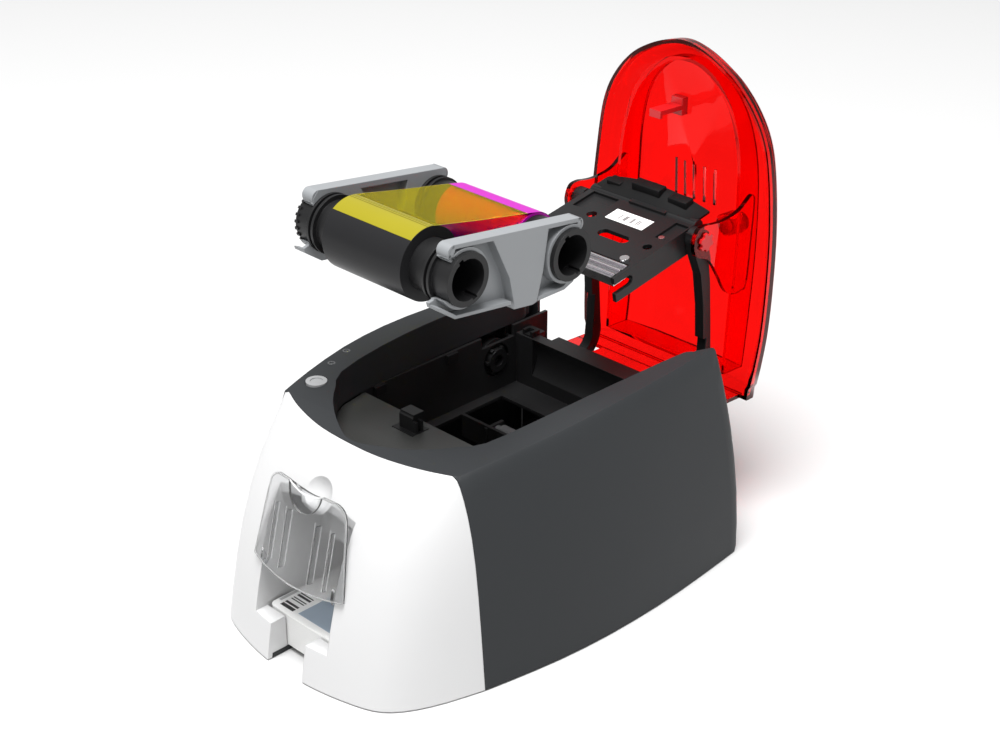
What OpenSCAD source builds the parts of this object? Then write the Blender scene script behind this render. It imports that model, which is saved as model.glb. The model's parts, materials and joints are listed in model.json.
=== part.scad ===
// Desktop card printer, shown with its lid open and its ribbon cassette lifted out.
// Millimetres. +Z up, +Y towards the rear, origin at the centre of the underside.

/* [Body] */
// Height of the rim at its highest point
rim_height = 121.4; // [119:0.2:124]
// Thickness of the moulded walls
wall = 2.6; // [2.2:0.2:3]
// Where the white front meets the grey sides
seam_y = -66.5; // [-68:0.5:-65]
// Gap between neighbouring mouldings
panel_gap = 0.2; // [0.1:0.05:0.4]
// Height of the floor tray's visible edge
tray_edge = 3; // [2:0.5:4]

/* [Bay] */
// Half width of the ribbon bay
bay_half = 58; // [57:0.5:58.5]
// Front edge of the bay
bay_front = -18.5; // [-20:0.5:-17]
// Rear edge of the bay
bay_rear = 98; // [97:0.5:99]
// Height of the bay floor
bay_floor = 62; // [60:0.5:63]
// Height of the deck in front of the bay
deck_height = 98; // [97:0.5:99]

/* [Lid] */
// Distance of the lid's hinge behind the origin
hinge_y = 116.4; // [116:0.1:116.8]
// Height of the lid's hinge
hinge_z = 74.6; // [74.2:0.1:75]
// How far the lid stands open
lid_open = 93; // [90:1:94]
// Rise of the lid's dome above the rim
dome_rise = 18.5; // [17:0.5:20]
// Thickness of the lid's wall
lid_wall = 2.4; // [2:0.2:2.6]

/* [Cards] */
// Width of a card
card_width = 54; // [53.9:0.05:54]
// Length of a card
card_length = 85.6; // [85.5:0.05:85.7]
// Thickness of a card
card_thick = 0.76; // [0.7:0.02:0.8]
// Cards in the stack, without the top one
card_count = 24; // [10:1:24]

/* [Rollers] */
// Radius of the rubber rollers
roller_r = 6.5; // [6:0.1:6.6]
// Radius of their shafts
shaft_r = 3; // [2.5:0.1:3.2]
// Running gap between a shaft and its bearing
shaft_gap = 0.06; // [0.03:0.01:0.1]
// Teeth on a roller gear
gear_teeth = 24; // [24:1:24]
// Teeth on the motor pinion
pinion_teeth = 11; // [11:1:11]

/* [Cassette] */
// Tilt of the lifted cassette
cassette_tilt = 7.5; // [7:0.1:8]
// Radius of the full ribbon roll
roll_r = 18.8; // [16:0.2:19]
// Radius of the spools' ends
hub_r = 13.5; // [13:0.1:13.8]
// Radius of the bores in the spools' ends
hub_bore = 10.4; // [9.5:0.1:10.8]
// Width of the ribbon
ribbon_width = 56; // [54:0.5:58]

/* [Hidden] */
far = 200;
eps = 0.01;

// Half outline of the body from the front centre to the rear centre:
// base x, base y, top x, top y
front_run = [[0, -127.5, 0, -81.3], [16, -127, 12, -81], [31, -124.8, 23, -79.9],
             [45, -121.5, 33.5, -77.7], [56, -117.6, 42.5, -75.2], [63.5, -112, 50, -72.6],
             [70.6, -101.8, 56.5, -69.8], [77, -87, 61.3, -67.6], [83, -67.5, 65.4, -65.5]];
side_run = [[83, -67.5, 65.4, -65.5], [86.5, -50.6, 69.4, -48], [91.6, -20.6, 74.4, -19],
            [94.6, 12.9, 76.4, 12], [95, 51, 75.4, 46], [93.2, 84, 72.3, 84],
            [91, 110, 69, 109], [89.8, 122, 66.6, 123.5]];
rear_run = [[86.5, 127.5, 64, 126.5], [0, 127.5, 0, 126.5]];
levels = [0, 0.13, 0.3, 0.47, 0.62, 0.74, 0.84, 0.92, 0.985];
inner_levels = [0, 0.3, 0.62, 0.84, 0.975];

// Half outline of the lid opening
mouth_half = [[0, -77.6], [6, -76.6], [20, -69.4], [35.4, -58.9], [45.3, -48.5], [54.2, -37],
              [58.5, -5.6], [60.2, 36.7], [60.2, 80], [60.2, 106], [62.9, 112], [62.9, 140],
              [0, 140]];

// Half outline of the closed lid
lid_half = [[0, -76.4], [13, -74], [26, -68.4], [37.8, -60.5], [48.8, -48.4], [56.8, -33.9],
            [61.2, -15.5], [64.8, 18.5], [66.2, 52], [66.2, 79.5], [64.6, 100], [63.4, 109.5],
            [62.1, 112], [62.1, 118.4], [0, 118.4]];

// Lid heights: share of the dome's rise, inset
dome_steps = [[0, 0], [0.34, 0.3], [0.42, 1.4], [0.7, 5], [0.88, 11], [0.97, 19], [1, 28]];

rim_drop_front = 6.6;
rim_drop_rear = 2.9;
crown_y = 31;
hinge_pin_r = 2.5;
head_tilt = 77;
head_y = 12;
head_z = 92.1;
pivot_y = 19;
pivot_z = 87.5;
pivot_s = (pivot_y - head_y) * cos(head_tilt) + (head_z - pivot_z) * sin(head_tilt);
pivot_t = (pivot_y - head_y) * sin(head_tilt) - (head_z - pivot_z) * cos(head_tilt);
rod_places = [54.8, 59.6, 64.4];
cassette_y = -56;
cassette_z = 228.2;
supply_u = 10;
supply_w = -17.8;
takeup_u = 81.6;
takeup_w = -17.8;
takeup_roll_r = 14.6;
handle_inner = 44;
handle_outer = 52;
roller_z = 16;
platen_y = 27;
feed_y = -8;
pinion_y = (platen_y + feed_y) / 2;
guide_y = 50.5;
guide_z = 57;
coupler_y = 81.7;
coupler_z = 81.8;
mouth_half_w = 28;
mouth_low = 21;
window_low = 53;
window_high = 95;
hopper_back = -73;
lip_back = -114.2;
card_front = -113.6;
well_floor = 3.4;
button_x = -57.2;
button_y = -51.5;
catch_rise = 9.8;
hook_low = deck_height + catch_rise + 0.8;
lamp_places = [[-65.3, -34.2], [-69.1, -20.5]];
tray_rim = 7;
foot_shadow = 0.4;
tray_gap = 0.65;
rim_step = 1;
gear_x = -43;
tongue = [[29, -3], [61, -3], [60, -22], [56.6, -37.6], [48.2, -37.6], [43.6, -22]];

function crown(y) = rim_height - (y < crown_y
    ? rim_drop_front * min(1, pow((crown_y - y) / (crown_y - seam_y), 2))
    : rim_drop_rear * pow((y - crown_y) / 95, 2));
function lean(y) = y < seam_y ? 0.3 * (seam_y - y) / 60 : (y - seam_y) / 192;
function ease(t, w) = (1 - w) * (t + pow(t, 5)) / 2 + w * t * t;
function midway(a, b, c, d) = (9 * (b + c) - a - d) / 16;
function finer(p) = [for (k = [0:2 * len(p) - 2]) k % 2 == 0 ? p[k / 2]
    : midway(p[max((k - 3) / 2, 0)], p[(k - 1) / 2], p[(k + 1) / 2],
             p[min((k + 3) / 2, len(p) - 1)])];
function tail(p) = [for (i = [1:len(p) - 1]) p[i]];
stations = concat(finer(front_run), tail(finer(side_run)), rear_run);
function body_half(t) = [for (s = stations) let (e = ease(t, lean(s[1])))
    [s[0] + (s[2] - s[0]) * e, s[1] + (s[3] - s[1]) * e, crown(s[3]) * t]];
function unit(v) = v / norm(v);
function normal_at(p, i) = i == 0 ? [0, -1] : i == len(p) - 1 ? [0, 1]
    : let (d = unit([p[i + 1][0] - p[i - 1][0], p[i + 1][1] - p[i - 1][1]])) [d[1], -d[0]];
function inset(p, d) = [for (i = [0:len(p) - 1]) let (n = normal_at(p, i))
    [max(p[i][0] - d * n[0], 0), p[i][1] - d * n[1], p[i][2]]];
function raised(p, dz) = [for (q = p) [q[0], q[1], q[2] + dz]];
function whole(p) = concat(p, [for (i = [len(p) - 2:-1:1])
    len(p[i]) == 3 ? [-p[i][0], p[i][1], p[i][2]] : [-p[i][0], p[i][1]]]);
function flat(p) = [for (q = p) [q[0], q[1]]];

// A closed solid through a list of mirrored half outlines, lowest first
module loft(halves) {
    m = len(halves[0]);
    n = 2 * m - 2;
    last = (len(halves) - 1) * n;
    points = [for (h = halves) each whole(h)];
    sides = [for (k = [0:len(halves) - 2], i = [0:n - 1]) let (j = (i + 1) % n)
        each [[k * n + i, (k + 1) * n + i, (k + 1) * n + j], [k * n + i, (k + 1) * n + j, k * n + j]]];
    floor_faces = [for (i = [0:m - 3]) i == 0 ? [0, 1, n - 1]
        : i == m - 3 ? [i, i + 1, i + 2, n - i - 1, n - i] : [i, i + 1, n - i - 1, n - i]];
    roof_faces = [for (f = floor_faces) [for (k = [len(f) - 1:-1:0]) f[k] + last]];
    polyhedron(points, concat(sides, floor_faces, roof_faces));
}

module body_solid() {
    loft(concat([for (t = levels) body_half(t)], [inset(body_half(1), 1)]));
}

module body_hollow() {
    loft(concat([raised(inset(body_half(0), wall), -1)],
                [for (t = inner_levels) if (t > 0) inset(body_half(t), wall)]));
}

module top_prism(grow) {
    translate([0, 0, 60])
        linear_extrude(height = 80) polygon(flat(whole(inset(body_half(1), 1 - grow))));
}

module mouth_prism(low, high, grow) {
    translate([0, 0, low]) linear_extrude(height = high - low)
        polygon(whole([for (p = inset([for (q = finer(mouth_half)) [q[0], q[1], 0]], -grow))
            [p[0], p[1]]]));
}

module block(x0, x1, y0, y1, z0, z1) {
    translate([x0, y0, z0]) cube([x1 - x0, y1 - y0, z1 - z0]);
}

module pair() {
    children();
    mirror([1, 0, 0]) children();
}

module rod_x(x0, x1, y, z, r) {
    translate([x0, y, z]) rotate([0, 90, 0]) cylinder(h = x1 - x0, r = r);
}

module rod_z(x, y, z0, z1, r) {
    translate([x, y, z0]) cylinder(h = z1 - z0, r = r);
}

// ---- Body ----

module tray_plate(low, high, depth) {
    translate([0, 0, low]) linear_extrude(height = high - low)
        polygon(flat(whole(inset(body_half(0), depth))));
}

module base_tray() {
    color([0.2, 0.2, 0.21]) difference() {
        union() {
            tray_plate(0, tray_edge - 0.6, wall + tray_gap);
            tray_plate(0, tray_rim, wall + tray_gap + rim_step);
            block(-79.9, 79.9, 122.1, 126.8, 0, tray_edge);
        }
        difference() {
            tray_plate(tray_edge, tray_rim + 1, wall + tray_gap + rim_step + 1.8);
            for (x = [46, 70], y = [-12, 100]) rod_z(x, y, -1, 8, 3);
        }
        block(-far, far, 124.1, far, tray_edge, far);
        block(-34, 34, -far, -100, tray_edge, far);
        block(-13.5, 13.5, -far, lip_back + 4, -1, 20);
        for (x = [-70, 70], y = [-62, 100]) {
            rod_z(x, y, -1, 1.8, 8.1);
            rod_z(x * 0.82, y, -1, 20, 1.7);
            rod_z(x * 0.82, y, -1, 1.6, 3.3);
        }
        for (x = [-48:8:48]) block(x - 1.5, x + 1.5, 20, 60, -1, 20);
    }
}

module rubber_feet() {
    color([0.1, 0.1, 0.1]) for (x = [-70, 70], y = [-62, 100]) rod_z(x, y, 0, 1.8, 8);
}

module tray_screws() {
    color([0.6, 0.6, 0.62]) for (x = [-57.4, 57.4], y = [-62, 100]) difference() {
        union() {
            rod_z(x, y, 0.3, 1.6, 3);
            rod_z(x, y, 1.5, 7.4, 1.7);
        }
        block(x - 1.8, x + 1.8, y - 0.4, y + 0.4, -1, 1);
        block(x - 0.4, x + 0.4, y - 1.8, y + 1.8, -1, 1);
    }
}

module front_region() {
    difference() {
        block(-far, far, -far, seam_y, -5, far);
        top_prism(0);
    }
}

module side_housing() {
    color([0.24, 0.25, 0.26]) difference() {
        body_solid();
        difference() {
            body_hollow();
            difference() {
                mouth_prism(deck_height + 1, far, 2.2);
                block(-far, far, 114, far, 0, far);
            }
            for (k = [0:2]) translate([-63, 119, 96 - k * 4.4]) rotate([0, 90, 0])
                linear_extrude(height = 2.6) polygon([[0, -3], [4.4, -3], [4.4, 1], [2.2, 8], [0, 1]]);
        }
        mouth_prism(deck_height - 4, far, 0);
        front_region();
        block(-far, far, -far, far, -1, foot_shadow);
        block(-80, 80, 122, far, -1, 66);
        block(-62.9, 62.9, 110, far, 65, far);
        rod_z(button_x, button_y, 100, far, 6);
        for (p = lamp_places) rod_z(p[0], p[1], 100, far, 2.2);
    }
}

module finger_bowl(r) {
    translate([0, -107.5, 98.5]) sphere(r = r, $fn = 72);
}

module bowl_shell() {
    intersection() {
        finger_bowl(15.2);
        block(-30, 30, -103.2, -72, 80, far);
    }
}

module front_cover() {
    color([0.95, 0.95, 0.95]) difference() {
        body_solid();
        difference() {
            body_hollow();
            pair() {
                block(13.5, 32, -far, lip_back, tray_edge, mouth_low);
                block(mouth_half_w, mouth_half_w + 2, -far, hopper_back + 2, tray_edge, window_high + 4);
            }
            block(-30, 30, -far, hopper_back + 2, window_high + 2, window_high + 4);
            block(-30, 30, hopper_back, hopper_back + 2, 46.4, window_high + 4);
            bowl_shell();
        }
        block(-far, far, seam_y - panel_gap, far, -5, far);
        top_prism(panel_gap);
        block(-far, far, -far, far, -1, foot_shadow);
        block(-mouth_half_w, mouth_half_w, -far, -70, mouth_low, 46.4);
        difference() {
            block(-mouth_half_w, mouth_half_w, -far, hopper_back - 27, 46.3, window_high);
            bowl_shell();
        }
        block(-13.5, 13.5, -far, lip_back + 4, -1, mouth_low + 1);
        finger_bowl(13.2);
        rod_x(-29.9, 29.9, pin_y, pin_z, pin_r);
    }
}

module rear_panel() {
    color([0.24, 0.25, 0.26]) difference() {
        block(-78, 78, 124.2, 126.8, tray_edge, 65.4);
        block(38, 62, 120, 130, 46, 65);
        for (z = [26:5:56], s = [-1, 1]) block(s * 20 - 15, s * 20 + 15, 120, 130, z, z + 2);
        rod_power(4.5);
        block(-66, -54, 120, 130, 14, 25);
    }
}

module rod_power(r) {
    translate([60, 120, 20]) rotate([-90, 0, 0]) cylinder(h = 10, r = r);
}

module power_socket() {
    color([0.08, 0.08, 0.08]) difference() {
        union() {
            translate([60, 112, 20]) rotate([-90, 0, 0]) cylinder(h = 14.6, r = 4.5);
            block(54, 66, 110, 124.2, 14, 26);
        }
        translate([60, 116, 20]) rotate([-90, 0, 0]) cylinder(h = 20, r = 3.1);
    }
    color([0.8, 0.8, 0.8]) translate([60, 112, 20]) rotate([-90, 0, 0]) cylinder(h = 13, r = 0.9);
}

module data_socket() {
    color([0.7, 0.7, 0.72]) difference() {
        block(-66, -54, 112, 126.6, 14, 25);
        block(-65.2, -54.8, 116, 130, 14.8, 24.2);
    }
    color([0.9, 0.9, 0.9]) block(-63, -57, 115, 119, 17.5, 21.5);
}

// ---- Bay ----

module deck_profile() {
    ramp_r = 36;
    difference() {
        polygon([[-79, deck_height - 3], [bay_front, deck_height - 3], [bay_front, deck_height],
                 [-45, deck_height], [-79, deck_height + 16]]);
        translate([-45, deck_height + ramp_r]) circle(r = ramp_r);
    }
}

module guide_bracket() {
    block(-51.1, 51.1, 47, 49, bay_floor - 14, bay_floor);
    pair() block(30, 32, 46, 60, bay_floor - 14, bay_floor - 1);
}

module bay_chassis() {
    trough_r = 20;
    color([0.16, 0.16, 0.165]) difference() {
        union() {
            intersection() {
                mouth_prism(deck_height - 4, rim_height - 7, 0);
                translate([-far / 2, 0, 0]) rotate([90, 0, 90])
                    linear_extrude(height = far) deck_profile();
            }
            block(-bay_half, bay_half, bay_front - 2, bay_front + 0.1, bay_floor - 2, deck_height - 1);
            block(-bay_half - 2, bay_half + 2, bay_front - 2, 112, bay_floor - 2, bay_floor);
            pair() block(bay_half, bay_half + 2, bay_front - 2, 124, bay_floor - 2, deck_height + 0.8);
            block(-bay_half - 1, bay_half + 1, bay_rear, 111, bay_floor - 1, 93.5);
            block(-bay_half - 1, bay_half + 1, 110, 124, bay_floor - 2, bay_floor + 2);
            pair() block(54, 62, hinge_y - 5, hinge_y + 5, bay_floor, hinge_z + 5);
            block(-72, -70, 72, 96, 66, 97);
            block(-72, -59, 94, 96, 66, 97);
            guide_bracket();
        }
        difference() {
            block(-51, 51, 2, 79, 0, bay_floor + 1);
            guide_bracket();
        }
        rod_x(-45, 45, coupler_y, coupler_z, trough_r);
        rod_x(-70, -40, coupler_y, coupler_z, 10);
        rod_x(-far, far, hinge_y, hinge_z, hinge_pin_r);
        rod_x(-80, -60, coupler_y, coupler_z, 2.5 + shaft_gap);
        rod_x(-33, 33, guide_y + 4, guide_z, shaft_r + shaft_gap);
        pair() block(bay_half - 0.1, bay_half + 5, 70, 96, deck_height - 6, far);
        pair() block(36.5, 47.5, 105, 125, bay_floor + 1, far);
        block(-19, -3, -34, -22, deck_height - 2, deck_height + 5);
    }
}

module latch_catch() {
    color([0.07, 0.07, 0.075]) difference() {
        union() {
            block(-18.8, -3.2, -33.8, -22.2, deck_height - 2, deck_height + 0.3);
            block(-16, -6, -31, -25, deck_height, deck_height + catch_rise);
            block(-16, -6, -31, -22.8, deck_height + catch_rise - 3.4, deck_height + catch_rise);
            block(-13, -9, -28, -21.4, deck_height, deck_height + catch_rise - 2.6);
            for (y = [-31, -27.4]) block(-6.1, -3.4, y, y + 1.6, deck_height, deck_height + 6.4);
        }
        block(-14, -8, -25.2, -20, deck_height + 2, deck_height + 6);
        rod_x(-17, -5, -32, deck_height + catch_rise, 2);
    }
}

module bay_clips() {
    color([0.05, 0.05, 0.05]) {
        for (x = [-50, 50]) difference() {
            block(x - 4, x + 4, 99, 105, 93.5, 97);
            block(x - 2, x + 2, 98, 103, 94.6, 99);
        }
        pair() for (y = [-8, 46]) block(bay_half - 2, bay_half, y - 4, y + 4, 93, 98.4);
    }
}

module drive_coupler() {
    color([0.1, 0.1, 0.1]) difference() {
        union() {
            rod_x(-67, -60.1, coupler_y, coupler_z, 12);
            rod_x(-72, -66, coupler_y, coupler_z, 2.5);
            rod_x(-61, -56, coupler_y, coupler_z, 7);
            for (a = [0:60:300]) translate([-61, coupler_y, coupler_z]) rotate([a, 0, 0])
                block(0, 4.5, 0, 8.6, -1, 1);
        }
        rod_x(-60, -50, coupler_y, coupler_z, 3.5);
    }
}

// ---- Controls ----

module power_button() {
    rim = crown(button_y);
    color([0.68, 0.69, 0.7]) difference() {
        union() {
            rod_z(button_x, button_y, rim - 7, rim + 0.5, 5.7);
            rod_z(button_x, button_y, rim - 7, rim - 4.6, 6.8);
        }
        rod_z(button_x, button_y, rim, rim + 3, 3.4);
    }
}

module indicator_lenses() {
    color([0.5, 0.51, 0.52]) for (p = lamp_places) difference() {
        rod_z(p[0], p[1], crown(p[1]) - 4, crown(p[1]) + 0.05, 2.2);
        rod_z(p[0], p[1], crown(p[1]) - 0.5, crown(p[1]) + 1, 1.2);
    }
}

// ---- Card hopper ----

panel_slope = 14.2;
panel_r = 132;
panel_y = -120.6;
panel_z = 51;
pin_r = 1;
pin_behind = 7;
pin_up = -0.5;
pin_y = panel_y + pin_behind * cos(panel_slope) + pin_up * sin(panel_slope);
pin_z = panel_z - pin_behind * sin(panel_slope) + pin_up * cos(panel_slope);

module hopper_frame() {
    translate([0, panel_y, panel_z]) rotate([-panel_slope, 0, 0]) children();
}

panel_half = concat([[0, -2.2], [12, -1.7], [24, -0.4], [34, 1.5], [29.6, 38]],
                    [for (a = [0:15:90]) [20.6 + 8 * cos(a), 42 + 8 * sin(a)]], [[0, 50]]);

module panel_outline() {
    difference() {
        polygon(whole(panel_half));
        translate([0, 74.5]) circle(r = 27.5, $fn = 160);
    }
}

// Shallow dish for the thumb, below the notch in the cover's top edge
module thumb_dish(r) {
    translate([0, -19.1, 50]) sphere(r = r, $fn = 90);
}

module hopper_ear() {
    translate([26.2, 0, 0]) rotate([90, 0, 90]) linear_extrude(height = 1.6) {
        translate([pin_behind, pin_up]) circle(r = 2.2);
        polygon([[4, 0], [pin_behind, pin_up - 2.1], [pin_behind + 2.1, pin_up], [4.6, 7], [4, 7]]);
    }
}

module hopper_cover() {
    color([0.55, 0.56, 0.57, 0.5]) difference() {
        hopper_frame() difference() {
            union() {
                intersection() {
                    union() {
                        difference() {
                            translate([0, panel_r, -10]) cylinder(h = 80, r = panel_r, $fn = 240);
                            translate([0, panel_r, -20]) cylinder(h = 99, r = panel_r - 1.8, $fn = 240);
                        }
                        intersection() {
                            for (x = [-21, -11, 11, 21]) block(x - 0.4, x + 0.4, 0, 5.6, 3, 34);
                            translate([0, panel_r, -10]) cylinder(h = 80, r = panel_r - 0.4, $fn = 240);
                        }
                        intersection() {
                            thumb_dish(24.7);
                            block(-20, 20, 0.9, 9, 30, 52);
                        }
                    }
                    translate([0, 13, 0]) rotate([90, 0, 0]) linear_extrude(height = 20) panel_outline();
                }
                pair() hopper_ear();
            }
            thumb_dish(23.1);
        }
        rod_x(-40, 40, pin_y, pin_z, pin_r + shaft_gap);
    }
}

module hopper_pins() {
    color([0.7, 0.7, 0.7]) pair() rod_x(26.1, 29.9, pin_y, pin_z, pin_r);
}

module card_outline(inset_by) {
    w = card_width / 2 - inset_by;
    l = card_length / 2 - inset_by;
    r = 3.18;
    square([2 * w - 2 * r, 2 * l], center = true);
    square([2 * w, 2 * l - 2 * r], center = true);
    for (x = [-1, 1], y = [-1, 1]) translate([x * (w - r), y * (l - r)]) circle(r = r, $fn = 20);
}

module cards(low, high, inset_by) {
    translate([0, card_front + card_length / 2, low])
        linear_extrude(height = high - low) card_outline(inset_by);
}

module card_well() {
    top = well_floor + (card_count + 1) * card_thick;
    color([0.86, 0.86, 0.86]) difference() {
        block(-29.9, 29.9, lip_back + 0.1, -23, well_floor - 0.4, 46);
        block(-27.9, 27.9, -far, -26, well_floor, 60);
        block(-24, 24, -40, -10, top - 2, 60);
        block(-13.5, 13.5, -far, lip_back + 6, -1, 30);
        pair() block(27, 40, -far, hopper_back + 2.2, well_floor + 0.6, 60);
        pair() block(mouth_half_w, 40, -far, hopper_back + 2.2, -1, 60);
    }
}

module card_stack() {
    color([0.93, 0.93, 0.92]) {
        for (k = [0:card_count - 1])
            cards(well_floor + k * card_thick + 0.05, well_floor + (k + 1) * card_thick - 0.05, 0);
        cards(well_floor, well_floor + card_count * card_thick, 0.6);
    }
}

module top_card() {
    low = well_floor + card_count * card_thick;
    color([0.97, 0.97, 0.96]) cards(low, low + card_thick, 0);
}

// ---- Rollers and drive ----

module roller_frame() {
    color([0.55, 0.56, 0.58]) pair() difference() {
        block(31, 33, feed_y - 11, platen_y + 12, tray_edge, 21.5);
        rod_x(30, 34, feed_y, roller_z, shaft_r + shaft_gap);
        rod_x(30, 34, platen_y, roller_z, shaft_r + shaft_gap);
        rod_x(30, 34, pinion_y, roller_z, 3);
    }
}

module roller(y, z, half, shaft_half, r) {
    color([0.12, 0.12, 0.12]) rod_x(-half, half, y, z, r);
    color([0.75, 0.75, 0.76]) rod_x(-shaft_half, shaft_half, y, z, shaft_r);
}

module feed_roller() roller(feed_y, roller_z, 28, 43, roller_r);
module platen_roller() roller(platen_y, roller_z, 29, 43, roller_r);

module guide_roller() {
    color([0.45, 0.45, 0.46]) rod_x(-26, 26, guide_y + 4, guide_z, 4.6);
    color([0.75, 0.75, 0.76]) rod_x(-32, 32, guide_y + 4, guide_z, shaft_r);
}

module gear(teeth, phase, bore, height) {
    step = 360 / teeth;
    root = teeth / 2 - 1.2;
    crest = teeth / 2 + 0.9;
    linear_extrude(height = height) difference() {
        polygon([for (k = [0:teeth - 1], q = [[-0.36, root], [-0.15, crest], [0.15, crest], [0.36, root]])
            let (a = phase + (k + q[0] * 0.8) * step) [q[1] * cos(a), q[1] * sin(a)]]);
        circle(r = bore);
    }
}

module feed_gear() {
    color([0.85, 0.85, 0.82]) translate([gear_x, feed_y, roller_z]) rotate([90, 0, 90])
        gear(gear_teeth, 180 / gear_teeth, shaft_r, 4.8);
}

module platen_gear() {
    color([0.85, 0.85, 0.82]) translate([gear_x, platen_y, roller_z]) rotate([90, 0, 90])
        gear(gear_teeth, 0, shaft_r, 4.8);
}

module motor_pinion() {
    color([0.75, 0.65, 0.35]) translate([gear_x - 0.4, pinion_y, roller_z]) rotate([90, 0, 90])
        gear(pinion_teeth, 180 / pinion_teeth, 1.5, 5.6);
    color([0.75, 0.75, 0.76]) rod_x(-48, -33.6, pinion_y, roller_z, 1.5);
}

module feed_motor() {
    color([0.3, 0.3, 0.32]) difference() {
        union() {
            rod_x(-74, -47, pinion_y, roller_z, 11);
            block(-47, -45.4, pinion_y - 11, pinion_y + 11, tray_edge, 28);
        }
        rod_x(-50, -40, pinion_y, roller_z, 1.56);
    }
}

module circuit_board() {
    color([0.1, 0.35, 0.2]) block(36, 74, -20, 108, 8, 9.6);
    color([0.1, 0.1, 0.1]) {
        block(46, 60, 20, 34, 9.6, 11.4);
        block(44, 56, 54, 62, 9.6, 12);
    }
    color([0.7, 0.7, 0.7]) for (y = [78, 90]) rod_z(66, y, 9.6, 20, 4);
}

// ---- Lid ----

module lid_place() {
    translate([0, hinge_y, hinge_z]) rotate([-lid_open, 0, 0])
        translate([0, -hinge_y, -hinge_z]) children();
}

lid_back = 118.4;
lid_outline = concat(finer([for (i = [0:10]) lid_half[i]]), [for (i = [11:14]) lid_half[i]]);
rim_gap = 0.5;

function lid_level(share, sink, d, dz) = [for (p = lid_outline)
    [p[0] * (1 - sink / 66 - d / 66),
     min(lid_back - d, hinge_y + (p[1] - hinge_y) * (1 - sink / 195 - d / 195)),
     crown(p[1]) + rim_gap + dome_rise * share + dz]];

module lid_outer() {
    loft([for (s = dome_steps) lid_level(s[0], s[1], 0, 0)]);
}

module lid_inner() {
    loft(concat([lid_level(0, 0, lid_wall, -2)],
                [for (s = dome_steps) if (s[0] > 0) lid_level(s[0], s[1], lid_wall, -lid_wall)]));
}

module inner_ridge(grow) {
    half = [[0, -54], [18, -50], [32, -39], [40, -22], [43, 0], [44, 40], [44, 108], [0, 108]];
    linear_extrude(height = 40) polygon(whole([for (p = half) [p[0] == 0 ? 0 : p[0] + grow,
        p[1] < 100 ? p[1] - grow : p[1]]]));
}

module lid_ear() {
    rotate([90, 0, 90]) linear_extrude(height = 2.6) difference() {
        union() {
            polygon([[4.4, 81], [12, 78], [28, 79], [31, 87], [27, 95], [40, 103], [56, 108],
                     [84, 126], [84, 142], [-6, 142], [-4, 112], [1, 106.4], [2.4, 92]]);
            translate([pivot_y, pivot_z]) circle(r = 9);
        }
        translate([pivot_y, pivot_z]) circle(r = 2);
        translate([36, 114]) circle(r = 7);
    }
}

module lid_shell() {
    color([0.9, 0.04, 0.03, 0.75]) lid_place() {
        difference() {
            union() {
                difference() {
                    lid_outer();
                    lid_inner();
                }
                intersection() {
                    lid_outer();
                    union() {
                        translate([0, 0, 119]) difference() {
                            inner_ridge(1);
                            translate([0, 0, -1]) inner_ridge(-1);
                        }
                        pair() translate([45, 0, 0]) block(0, 2.6, 2, 84, 116, 150);
                        pair() difference() {
                            rod_z(30, 21.5, 126, 150, 8);
                            rod_z(30, 21.5, 120, 150, 6.6);
                        }
                    }
                }
                pair() translate([45, 0, 0]) intersection() {
                    lid_ear();
                    translate([-45, 0, 0]) union() {
                        lid_outer();
                        block(-far, far, -far, far, 60, rim_height + 3);
                    }
                }
                block(-57.4, 57.4, lid_back - lid_wall - 0.3, lid_back - 0.15, 82, 122);
            }
            pair() block(37, 47, 112, 122, 70, 108.5);
            pair() for (y = [30:3:54]) block(60, 70, y, y + 1.4, 124, 130);
            for (x = [-14:7:14]) block(x - 0.5, x + 0.5, -2.5, 19, 126, 150);
        }
    }
}

module lid_hook() {
    color([0.75, 0.05, 0.04]) lid_place() {
        intersection() {
            lid_inner();
            union() {
                block(-15, -7, -36, -33.4, 118, far);
                block(-15, -7, -40, -30, 127, far);
            }
        }
        block(-15, -7, -36, -33.4, hook_low, 119);
        block(-15, -7, -33.5, -31.6, hook_low, hook_low + 2);
    }
}

module arm_profile() {
    difference() {
        union() {
            translate([104, 87.5]) circle(r = 19.4);
            polygon([[104, 106.9], [70, 102.5], [46, 99], [30, 95.5], [14, 89.5], [15, 81.5],
                     [24, 82.5], [40, 90.5], [60, 95], [80, 97.5], [104, 100]]);
            translate([pivot_y, pivot_z]) circle(r = 6.2);
            translate([hinge_y - 3, hinge_z - 2]) square([10, 15.7]);
            translate([hinge_y, hinge_z]) circle(r = 5);
        }
        translate([104, 87.5]) circle(r = 12.6);
        translate([80, 60]) square([24, 40]);
        translate([84, 60]) square([27.4, 27.5]);
        translate([pivot_y, pivot_z]) circle(r = 2);
        translate([hinge_y, hinge_z]) circle(r = hinge_pin_r + shaft_gap);
    }
}

module lid_arms() {
    color([0.09, 0.09, 0.09]) lid_place() pair() translate([38.6, 0, 0]) rotate([90, 0, 90])
        linear_extrude(height = 6) arm_profile();
}

module hinge_pins() {
    color([0.75, 0.75, 0.76]) pair() rod_x(36, 62.4, hinge_y, hinge_z, hinge_pin_r);
}

// ---- Print head ----

module head_place() {
    lid_place() translate([0, head_y, head_z]) rotate([-head_tilt, 0, 0]) children();
}

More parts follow.
